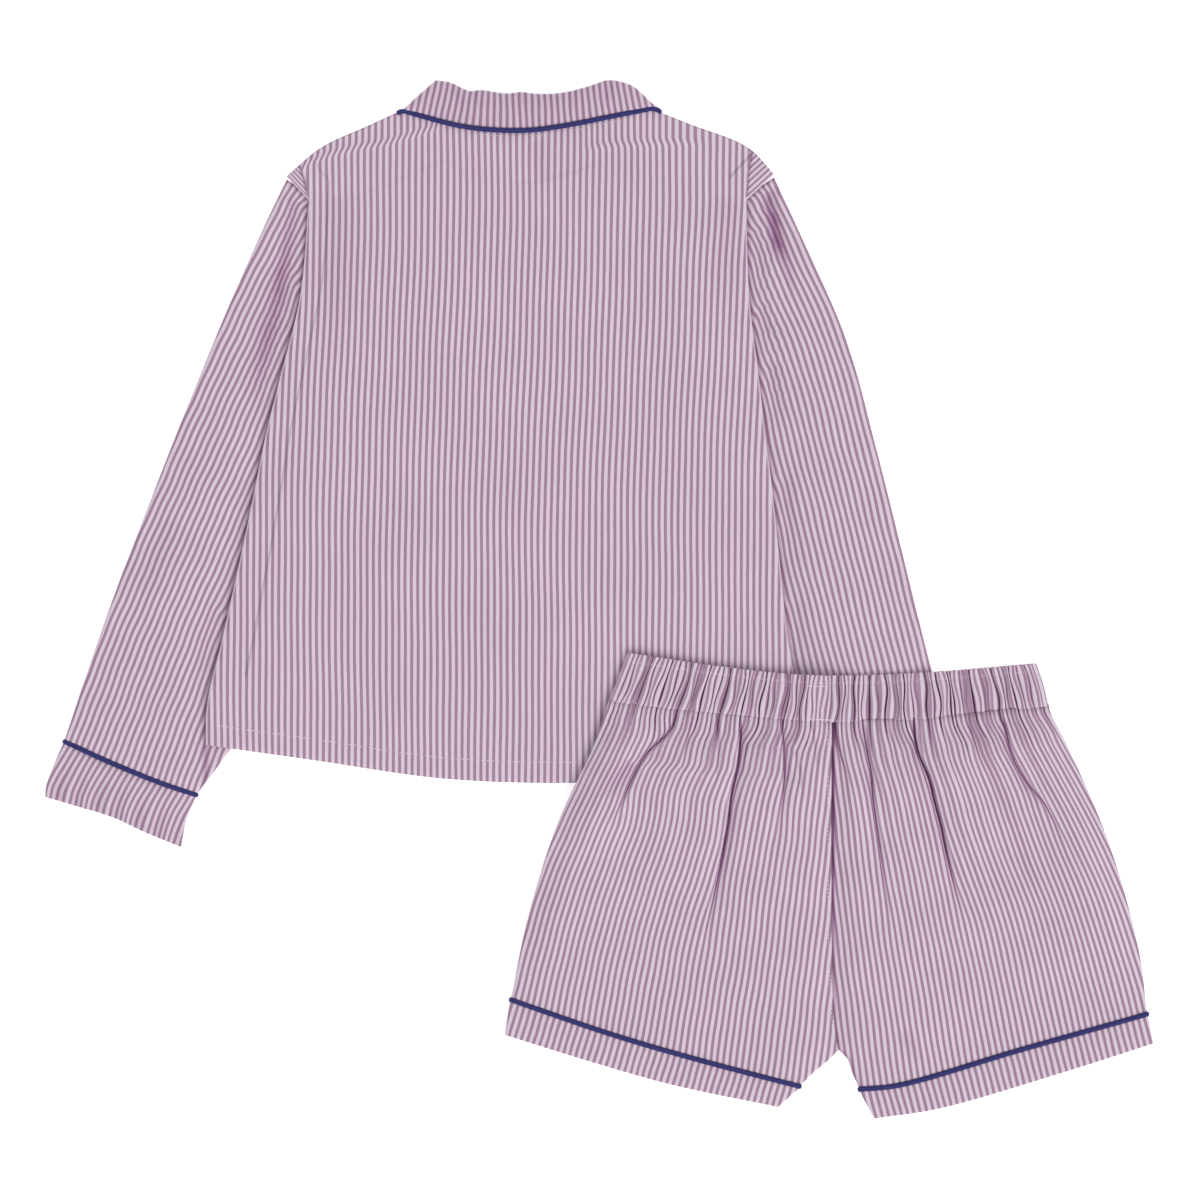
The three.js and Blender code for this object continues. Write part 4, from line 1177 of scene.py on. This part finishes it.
shorts = {
    "waistTop": curve((20, -37.5), (84, -47), (136, -52.5), (168.5, -53.5), (233, -51), (306, -45)),
    "waistSeam": curve((6.5, -71.5), (54, -77), (114, -82.5), (162.5, -86), (253.5, -82), (314.5, -75)),
    "centreX": 162.5,
    "length": 250,
    "crotch": (168.5, -340),
    "puff": 2.4,
    "rowsAt": (0, 45, 120, 250),        # mm below the waist, where the rows' spacing changes
    "rowSteps": (1.4, 2.4, 4),
    "columns": 300,
    "smoothing": (9, 30),
    "tuckedUp": 1.1,                    # under the casing
    "aboveSeam": 0.4,
    "besideSeam": 0.15,                 # each back stops this far from the centre
    "release": {"left": (90, 1.2), "right": (100, 1.1)},    # mm over which the gathered cloth spreads again
    "seamLean": {"left": 0.138, "right": 0.105},            # stripes against the centre-back seam
    "level": 0.965,                     # leaning stripes stand further apart along a level line
    "casingReach": 22,                  # mm below the casing over which its stripes give way to the leg's
    "flatAtSide": 16,                   # mm over which its puff begins
    "flatAtWaist": 30,
    "flatAtSeam": 14,
    "seamPuff": 0.35,                   # share of it left at the centre-back seam
    "flatFrom": 0.55,                   # of the way down, where it begins to lie flat again
    "waves": 0.5,
    "waveLength": 52,
    "waveSeed": {"left": 1.9, "right": 0.7},
    "sway": 0.4,
    "swayLength": 70,
    "deepest": 3.4,
    "casingDrop": 0.9,                  # mm that it goes down at each edge, and over how many
    "casingWidth": 2.4,
    "sideDrop": 0.8,
    "sideWidth": 1.6,
    "seamDrop": 1.0,
    "seamWidth": 0.9,
    "footDrop": 0.5,
    "footWidth": 4,
    "leastPuff": -0.7,
    "seamShade": 1.1,                   # painted shadow where the right leg goes in under the left one at the centre-back seam
    "seamShadeLow": 0.35,               # share of that shade left near the crotch
    "seamShadeWidth": 1.5,
    "cut": {"width": 0.25, "length": 0.262, "area": 0.0575},
    "frontGrid": 60,
    "folds": {
        "left": [
            fold(2.2, (56, -77), (50, -92), (33.5, -108.5), (24.5, -124), (17, -141), (8, -160),
                 laps="right", reach=6, hides=7, fadeOut=0.35),
            fold(1.5, (23, -112), (12, -126), (-2, -144), spread=(5, 6), hides=3),
            fold(1.3, (66, -79), (60, -103), (57, -124), laps="left", reach=4, hides=3),
            fold(1, (82.5, -77), (84, -99), (82.5, -136), laps="right", reach=3, hides=1.5),
            fold(3.2, (99, -78), (97, -113), (92.5, -134), (90, -154), (85, -183), (76, -225), (70, -252),
                 laps="left", reach=5, hides=10, shade=1.2, fadeOut=0.5),
            fold(2.2, (127, -78), (129, -119), (127.5, -141), (123, -178), laps="left", reach=4.5, hides=5),
            fold(0.8, (137, -104), (141, -122), (143, -142), laps="right", reach=3, hides=1),
            fold(0.9, (147, -80), (150, -100), (152, -128), laps="left", reach=3, hides=1),
        ],
        "right": [
            fold(1.6, (164.5, -80), (168, -104), (173, -120), (177, -142), laps="right", reach=3.5, hides=3),
            fold(2.4, (184, -76), (187.5, -104), (190.5, -121), (192, -141), (195, -162), (201, -204),
                 (211, -248), laps="right", reach=4.5, hides=6),
            fold(0.9, (203, -80), (205, -96), (208, -112), laps="left", reach=3, hides=1),
            fold(3.2, (220, -76), (222.5, -104), (231, -125), (235, -141), (240, -160), (244, -180),
                 (258, -235), laps="right", reach=5, hides=10, shade=1.3, fadeOut=0.5),
            fold(1.2, (256, -78), (262, -102), (270, -127), laps="left", reach=4, hides=3),
            fold(1.2, (267, -74), (274, -95), (283, -112), laps="right", reach=3, hides=2),
            fold(2.3, (282, -76), (289, -109), (299.5, -128), (311, -142), (319, -155), (336, -185),
                 laps="right", reach=6, hides=6),
            fold(1, (308, -74), (316, -90), (325, -103), laps="left", reach=4, hides=2),
            fold(0.9, (211, -300), (218, -312), (226, -328), spread=(5, 4)),
        ],
    },
}
legs = {
    "left": {
        "outer": curve((5.5, -75), (-3.5, -102), (-28, -154.5), (-49.5, -222), (-61.7, -280.5)),
        "inner": curve((167.5, -315.5), (161, -322.5), (150.5, -331), (140.5, -341)),
        "seam": curve((-62, -280.3), (8.5, -304.5), (64.5, -321), (140.8, -341.2)),
        "hem": curve((-66, -305), (-10, -322.5), (49.5, -339.5), (125.5, -355.5)),
    },
    "right": {
        "outer": curve((315, -78.5), (328.5, -104.5), (357, -171.5), (378, -247), (383.5, -290.5)),
        "inner": curve((167.5, -315.5), (174.5, -322.5), (177, -331), (182.5, -343)),
        "seam": curve((182, -343.2), (210.5, -340), (294.5, -315.5), (384, -290.3)),
        "hem": curve((192.5, -363.5), (238, -356.5), (325.5, -331), (388, -311)),
    },
}
centreBack = curve((162.5, -86), (162.5, -137), (163, -238.5), (164.5, -294.5), (167.5, -315.5))
crotchShare = 0.9

# Gathers: the elastic draws the cloth into small puffs with narrow creases between them
gather = {
    "count": 62,
    "ratio": {"left": 1.36, "right": 1.5},      # mm of cloth to each mm of waist
    "crease": 0.11,          # share of a gather that its crease takes
    "height": 2.3,
    "heights": (0.78, 0.3),  # shares of it: mean, and how much it varies
    "wander": 0.3,
    "deepX": (26, 41, 55, 70, 84.5, 99, 112, 129, 140, 148, 165.5, 178, 189, 200, 214, 230, 238, 247, 263,
              280, 293),
    "deepWidth": 2.6,
    "deepHeight": 0.35,
    "plain": (151, 161),     # the join in the elastic is stitched flat
    "plainHeight": 0.15,
    "fades": (26, 14),       # mm below the casing: mean, and how much it varies
    "fadeSharpness": 1.3,
    "nip": 0.5,              # drawn in by the seam under the casing
    "nipReach": 2.2,
    "hidesTo": 150,
    "legLevel": 0.3,         # share of a puff that lies below the leg's own level, and the same on the casing
    "casingLevel": 0.35,
    "columns": (0, 0.06, 0.14, 0.28, 0.5, 0.72, 0.86, 0.94),
    # painted shade of a crease and painted highlight on the puff beside it: in any, and what a deep one adds
    "dark": (0.6, 1.1),
    "light": (0.6, 0.3),
    "shade": 0.16,
    "darkWidth": 0.085,      # shares of a gather
    "shadeWidth": 0.25,
    "lightAt": 0.2,
    "lightWidth": 0.1,
}
waistShares = even(3000)
waistXs = trace(shorts["waistSeam"], waistShares)[:, 0]
waistLength = lengthsAlong(shorts["waistSeam"])[-1]
centreShare = np.interp(shorts["centreX"], waistXs, waistShares)


def clothAtWaist(shares):
    # mm of cloth between the centre-back seam and each share of the waist
    fromSeam = (shares - centreShare) * waistLength
    return fromSeam * np.where(fromSeam < 0, gather["ratio"]["left"], gather["ratio"]["right"])


def gatherCreases():
    k = np.arange(gather["count"] + 1)
    inner = (k > 0) & (k < gather["count"])
    creases = (k + gather["wander"] * np.sin(2.4 * k + 0.4) * inner) / gather["count"]
    xs = np.interp(creases, waistShares, waistXs)
    for x in gather["deepX"]:
        nearest = np.argmin(np.abs(xs - x))
        creases[nearest] += (x - xs[nearest]) / waistLength
    return creases


creases = gatherCreases()


def gathersAt(shares):
    # for shares of the waist: place between two creases (0 to 1), puff height, length below the casing, depth
    place = np.interp(shares, creases, np.arange(gather["count"] + 1))
    k = np.arange(gather["count"])
    number = np.minimum(np.floor(place), gather["count"] - 1).astype(int)
    middles = np.interp((creases[:-1] + creases[1:]) / 2, waistShares, waistXs)
    x = np.interp(shares, waistShares, waistXs)
    deep = np.max([bell(x - deepX, gather["deepWidth"]) for deepX in gather["deepX"]], 0)
    mean, varies = gather["heights"]
    height = gather["height"] * (mean + varies * np.sin(1.7 * k + 0.4))
    isPlain = (middles > gather["plain"][0]) & (middles < gather["plain"][1])
    height = np.where(isPlain, gather["plainHeight"], height)
    fades = gather["fades"][0] + gather["fades"][1] * np.sin(0.9 * k + 0.8)
    return place - number, height[number] * (1 + gather["deepHeight"] * deep), fades[number], deep


def crowdedCloth(between, hides):
    # how far the cloth is ahead of an even count, where each crease hides so many mm of it
    ahead = (np.tanh(between / gather["crease"]) - np.tanh((1 - between) / gather["crease"])) / 2
    return hides * (ahead + 0.5 - between)


def paintedGatherShade(between, height, deep):
    # painted shade, a dark line in each crease, and a painted highlight on the puff beside it
    nearest = np.minimum(between, 1 - between)
    dark, light = (gather[key][0] + gather[key][1] * deep for key in ("dark", "light"))
    tone = (dark * bell(nearest, gather["darkWidth"]) + gather["shade"] * bell(nearest, gather["shadeWidth"])
            - light * bell(between - gather["lightAt"], gather["lightWidth"]))
    return tone * rise(0.2, 1, height)


casing = {
    "levels": (0, 0.12, 0.17, 0.23, 0.5, 0.78, 0.93, 1),
    "puffs": (0.75, 0.8, 0.45, 0.8, 1.0, 0.95, 0.7, 0.5),      # drawn in along both lines of stitching
    "left": curve((20, -37.5), (12, -58), (6.5, -71.5)),
    "right": curve((306, -45), (311, -60), (314.5, -75)),
    "rows": 44,
    "smoothing": (10, 60, 12, 30),
    "slides": (0.0035, 0.0025),      # shares of its width that each crease wanders by on its way down
    "sunk": 0.6,
    "thickness": 3.8,
    "frontPuff": 1.2,        # its front is gathered too
    "topStitch": 0.17,
    "seamStitch": 0.975,
    "teeth": 0.55,           # mm that the gathers stand up along the top edge
    "seamTeeth": 1.4,        # times as much along the lower edge
    "seamDrop": 0.35,
    "wide": 33,              # mm of cloth from its top edge to the seam
    "cut": {"width": 0.92, "length": 0.034},
    "wall": 0.7,
}


def puffShape(between):
    return np.sin(np.clip(between, 0, 1) * math.pi) ** 0.6


def makeWaistband():
    width = waistLength
    near = np.array(cloth["foldColumns"]) / width
    shares = (creases[:-1, None] + np.diff(creases)[:, None] * gather["columns"]).ravel()
    shares = shares[(shares > 4 / width) & (shares < 1 - 4 / width)]
    across = np.concatenate([near, shares, 1 - near[::-1]])
    down = even(casing["rows"])
    level = down[:, None]
    fromSide = np.minimum(across, 1 - across)[None] * width
    # each crease wanders a little on its way down, and the columns go with it
    first, second = casing["slides"]
    shown = across[None] + rise(2, 12, fromSide) * (
        first * np.sin(52 * across) * np.sin(level * math.pi)
        + second * np.sin(131 * across + 1) * np.sin(level * 2 * math.pi))
    points = net(trace(shorts["waistTop"], shown), trace(shorts["waistSeam"], shown),
                 trace(casing["left"], down), trace(casing["right"], down), shown, down)
    base = solidTop("waistband", points, *casing["smoothing"])
    between, height, _, deep = (value[None] for value in gathersAt(across))
    amount = np.interp(level, casing["levels"], casing["puffs"])
    ends = rise(2, 9, fromSide)
    puff = puffShape(between)
    atEdge, atSeam = 1 - rise(0, casing["topStitch"], level), rise(0.8, 1, level)
    points[..., 1] += casing["teeth"] * (puff - 0.6) * ends * (atEdge - casing["seamTeeth"] * atSeam)
    top = (base + amount * height * (puff - gather["casingLevel"]) * ends - casing["sunk"]
           - casing["seamDrop"] * rise(0.86, 1, level))
    low = np.maximum(base - casing["thickness"], 0) + casing["frontPuff"] * amount * puff * ends
    hides = width / gather["count"] * (np.where(across < centreShare, *gather["ratio"].values()) - 1)
    stripes = clothAtWaist(across)[None] + crowdedCloth(between, hides * rise(0.2, 1, height)) + 0 * level
    # painted shade and highlights of the gathers, weaker where the casing is drawn in
    tone = paintedGatherShade(between, height, deep) * (0.45 + 0.55 * amount)
    thread = threadOf(stripes, level * casing["wide"] + 0 * stripes, tone)
    piece = clothTube("waistCasing", "waistband", points, top, low, thread, casing["wall"])
    return sewnFrom(piece)


def legNet(side, columns, down):
    leg = legs[side]
    besideSeam = shorts["besideSeam"] / waistLength
    start, end = (0, centreShare - besideSeam) if side == "left" else (centreShare + besideSeam, 1)
    across = even(columns)
    waist = start + across * (end - start)
    centre = trace(centreBack, np.clip(down / crotchShare, 0, 1))
    below = down > crotchShare
    centre[below] = trace(leg["inner"], (down[below] - crotchShare) / (1 - crotchShare))
    outer = trace(leg["outer"], down)
    left, right = (outer, centre) if side == "left" else (centre, outer)
    head = traceBeside(shorts["waistSeam"], shorts["aboveSeam"], waist)
    foot = traceBeside(leg["seam"], piping["under"], across)
    return net(head, foot, left, right, across, down), waist


def makeShortsFront(side):
    points, _ = legNet(side, shorts["frontGrid"], even(shorts["frontGrid"]))
    node = f"shorts_front_{side}"
    piece = clothLayer(f"shortsFront{side.title()}", node, points, solidTop(node, points, 2, 3),
                       threadOf(points[..., 0], points[..., 1]))
    return sewnFrom(piece)


def summed(steps):
    # running totals along each row, from 0
    return np.concatenate([np.zeros((len(steps), 1)), np.cumsum(steps, 1)], 1)


def legStripes(side, points, fromWaist, waist, hidden):
    # Cloth counted outwards from the line of the centre-back seam; what the folds do not hide lies loose.
    # Also the distances from that seam and from the side, and the share of cloth that is loose.
    sign = -1 if side == "left" else 1
    x, y = points[..., 0], points[..., 1]
    seamTop, seamFoot = centreBack[0], shorts["crotch"]
    fromSeam = sign * (x - np.interp(-y, (-seamTop[1], -seamFoot[1]), (seamTop[0], seamFoot[0])))
    drop = np.maximum(seamTop[1] - y, 0)
    over, sharpness = shorts["release"][side]
    extra = (gather["ratio"][side] - 1) * np.exp(-(drop / over) ** sharpness)
    width = np.linalg.norm(np.diff(points, axis=1), axis=2)
    fromLeft = summed(width)
    inFolds = summed(width * (hidden[:, 1:] + hidden[:, :-1]) / 2)
    fromCentre, inFolds = (run[:, -1:] - run if side == "left" else run for run in (fromLeft, inFolds))
    fromOuter = fromLeft if side == "left" else fromLeft[:, -1:] - fromLeft
    widest, allInFolds = (run.max(1, keepdims=True) for run in (fromCentre, inFolds))
    stripes = sign * ((1 + extra) * shorts["level"] * fromSeam - shorts["seamLean"][side] * drop
                      + inFolds - allInFolds * fromCentre / widest)
    inCasing = 1 - rise(0, shorts["casingReach"], fromWaist)
    stripes = inCasing * clothAtWaist(waist)[None] + (1 - inCasing) * stripes
    return stripes, fromCentre, fromOuter, np.maximum(extra - allInFolds / widest, 0)


def makeShortsBack(side):
    length = shorts["length"]
    runs = zip(shorts["rowsAt"], shorts["rowsAt"][1:], shorts["rowSteps"])
    rows = np.concatenate([np.arange(start, end, step) for start, end, step in runs] + [[length]])
    points, waist = legNet(side, shorts["columns"], rows / length)
    fromWaist = rows[:, None]
    down = fromWaist / length
    points[..., 1] += shorts["tuckedUp"] * (1 - rise(0, 4, fromWaist))
    base = solidTop(f"shorts_back_{side}", points, *shorts["smoothing"])
    depth, hidden, shade = foldsAt(points, shorts["folds"][side])
    stripes, fromCentre, fromOuter, loose = legStripes(side, points, fromWaist, waist, hidden)
    # the gathers run on down along the stripes and fade
    waistCloth = gather["ratio"][side] * waistLength
    between, height, fades, deep = gathersAt(np.clip(centreShare + stripes / waistCloth, 0, 1))
    amount = np.exp(-(fromWaist / fades) ** gather["fadeSharpness"])
    nip = 1 - gather["nip"] * np.exp(-fromWaist / gather["nipReach"])
    relief = amount * nip * height * (puffShape(between) - gather["legLevel"])
    atSeam = shorts["seamPuff"]
    full = (rise(0, shorts["flatAtSide"], fromOuter) * rise(0, shorts["flatAtWaist"], fromWaist)
            * (atSeam + (1 - atSeam) * rise(0, shorts["flatAtSeam"], fromCentre))
            * (1 - rise(shorts["flatFrom"], 1, down)))
    waves = shorts["waves"] * slowWaves(points, shorts["waveLength"], shorts["waveSeed"][side])
    inFold = np.minimum(depth, shorts["deepest"]) * rise(-4, 8, fromWaist)
    top = (base + shorts["puff"] * full * (1 + waves) + relief - inFold
           - shorts["casingDrop"] * (1 - rise(0, shorts["casingWidth"], fromWaist))
           - shorts["sideDrop"] * (1 - rise(0, shorts["sideWidth"], fromOuter))
           - shorts["seamDrop"] * bell(fromCentre, shorts["seamWidth"])
           - shorts["footDrop"] * rise(length - shorts["footWidth"], length, fromWaist))
    top = np.maximum(top, base + shorts["leastPuff"])
    reach = np.exp(-(fromWaist / gather["hidesTo"]) ** 3)
    hides = waistCloth / gather["count"] * (1 - 1 / (1 + loose)) * reach
    stripes = (stripes + crowdedCloth(between, hides)
               + shorts["sway"] * slowWaves(points, shorts["swayLength"], 2.6) * rise(0, 40, fromWaist))
    # painted shade in the folds and gathers, and on the right leg a painted shadow beside the centre-back
    # seam
    tone = shade + paintedGatherShade(between, height, deep) * amount ** 1.5
    if side == "right":
        low = shorts["seamShadeLow"]
        fades = low + (1 - low) * (1 - rise(0.2, 0.8, down))
        tone += shorts["seamShade"] * bell(fromCentre - 0.8, shorts["seamShadeWidth"]) * fades
    thread = threadOf(stripes, -points[..., 1], tone)
    piece = clothLayer(f"shortsBack{side.title()}", f"shorts_back_{side}", points, top, thread)
    return sewnFrom(piece)


# Leg bands: turned up and piped, all round
legBand = {
    "depth": 22,
    "rows": 14,
    "columns": 90,
    "smoothing": (3, 20, 9, 8),
    "roundness": 1.8,
    "puff": 0.3,
    "ripple": 0.25,
    "rippleLength": 23,
    "sway": 0.3,
    "swayLength": 40,
    "cut": {"width": 0.43, "length": 0.024},
}


def makeLegBand(side):
    leg = legs[side]
    width = lengthsAlong(leg["seam"])[-1]
    across = tubeShares(legBand["columns"], width)
    shares = even(legBand["rows"])
    down = shares[:, None]
    head = traceBeside(leg["seam"], -piping["under"], across)
    points = rowsBetween(head, trace(leg["hem"], across), shares)
    top = solidTop(f"leg_band_{side}", points, *legBand["smoothing"])
    distance = across[None] * width
    ripple = np.sin(distance / legBand["rippleLength"] * 2 * math.pi + 1) * rise(0.1, 1, down)
    top = top + legBand["ripple"] * ripple + legBand["puff"] * np.sin(down * math.pi)
    along = (leg["seam"][-1] - leg["seam"][0]) / np.linalg.norm(leg["seam"][-1] - leg["seam"][0])
    # stripes stand square to the seam
    stripes = (points - leg["seam"][0]) @ along
    stripes += legBand["sway"] * slowWaves(points, legBand["swayLength"], 1)
    thread = threadOf(stripes, down * legBand["depth"] + 0 * distance)
    piece = clothTube(f"legBand{side.title()}", f"leg_band_{side}", points, top, np.zeros_like(top), thread,
                      roundness=legBand["roundness"])
    return sewnFrom(piece)


waistbandPiece = makeWaistband()
shortsBacks = {}
for side in legs:
    makeShortsFront(side)
    shortsBacks[side] = makeShortsBack(side)
    makeLegBand(side)
    pipingRound(f"legPiping{side.title()}", f"leg_piping_{side}", legs[side]["seam"], steps=150)
print("shorts made")


# Stitches that show: hem, neck seam, the casing's two lines, the join in the elastic and the centre-back seam
stitches = {
    # stitch, gap and thread width; real thread is about 0.25 thick, drawn thicker so that it shows
    "hem": (2.6, 1.0, 0.5),
    "neck": (2.6, 1.4, 0.35),
    "casing": (1.3, 2.6, 0.32),
    "join": (1.8, 0.3, 0.8),
    "seat": (2.0, 0.9, 0.5),
    "fromEnds": 4,           # of 200 steps, left plain at both ends of the casing's lines
    "upCasing": curve((154.7, -61), (154.9, -82)),
    "joins": [curve((145, -60.6), (161.5, -60.9)), curve((146.5, -83.6), (161.5, -84.3))],
    "seatSeam": curve((159.6, -88), (160, -170), (160.6, -240), (163.5, -306)),
}


def makeStitches():
    shares = even(200)
    hemLine = traceBeside(hem, back["hemDepth"], 0.01 + 0.98 * shares)
    neckLine = traceBeside(collar["edge"], -3.6, 0.3 + 0.56 * shares)
    topLine, seamLine = trace(shorts["waistTop"], shares), trace(shorts["waistSeam"], shares)
    acrossBand = [(topLine + (seamLine - topLine) * level)[stitches["fromEnds"]:-stitches["fromEnds"]]
                  for level in (casing["topStitch"], casing["seamStitch"])]
    for part, lines, onto in (("hem", [hemLine], backPiece), ("neck", [neckLine], backPiece),
                              ("casing", acrossBand + [stitches["upCasing"]], waistbandPiece),
                              ("join", stitches["joins"], waistbandPiece),
                              ("seat", [stitches["seatSeam"]], shortsBacks["left"])):
        stitchRuns(f"{part}Stitches", lines, onto, *stitches[part])


makeStitches()
print("stitches made")


# Floor, light and camera

studio = {
    "paper": "#fbfbfb",
    "paperSize": 6,           # m
    "paperRoughness": 0.9,
    "grain": 0.03,
    "grainScale": 900.0,
    "viewWidth": 840,         # mm across the photograph
    "lens": 200,
    "aim": (0.7, -0.7),
    "skyStrength": 0.7,
    "keyStrength": 1.3,
    "keySoftness": 40,        # degrees across
    "keyFrom": (0.7, -0.9, 1.1),
    "floorGlow": 0.5,         # the paper is lit from behind, so that it stays white
}


def makeFloor():
    bpy.ops.mesh.primitive_plane_add(size=studio["paperSize"], location=(0, 0, -0.0002))
    floor = bpy.context.object
    floor.name = "floor"
    paper, tree, shader = newMaterial("mattPaper")
    grain = addNode(tree, "ShaderNodeTexNoise", {"Scale": studio["grainScale"]})
    tone = addNode(tree, "ShaderNodeMapRange", {"Value": grain.outputs[0], "To Min": 1 - studio["grain"]})
    white = addNode(tree, "ShaderNodeVectorMath", {0: linear(studio["paper"])[:3], "Scale": tone.outputs[0]},
                    operation="SCALE")
    fill(tree, shader, {
        "Base Color": white.outputs[0], "Roughness": studio["paperRoughness"],
        "Emission Color": (1, 1, 1, 1), "Emission Strength": studio["floorGlow"]})
    floor.data.materials.append(paper)


def makeStudio():
    scene = bpy.context.scene
    sky = bpy.data.worlds.new("softRoom")
    sky.use_nodes = True
    fill(sky.node_tree, sky.node_tree.nodes["Background"], {
        "Color": (1, 1, 1, 1), "Strength": studio["skyStrength"]})
    scene.world = sky
    key = bpy.data.lights.new("softbox", "SUN")
    key.energy, key.angle = studio["keyStrength"], math.radians(studio["keySoftness"])
    softbox = bpy.data.objects.new("softbox", key)
    softbox.rotation_euler = (-Vector(studio["keyFrom"])).to_track_quat("-Z", "Y").to_euler()
    scene.collection.objects.link(softbox)
    camera = bpy.data.objects.new("camera", bpy.data.cameras.new("camera"))
    camera.data.lens = studio["lens"]
    height = studio["viewWidth"] / 1000 * studio["lens"] / camera.data.sensor_width
    aim = (np.array([*studio["aim"], 0]) + layShift) / 1000
    camera.location = (aim[0], aim[1], height)
    scene.collection.objects.link(camera)
    scene.camera = camera
    scene.view_settings.view_transform = "Standard"


makeFloor()
makeStudio()
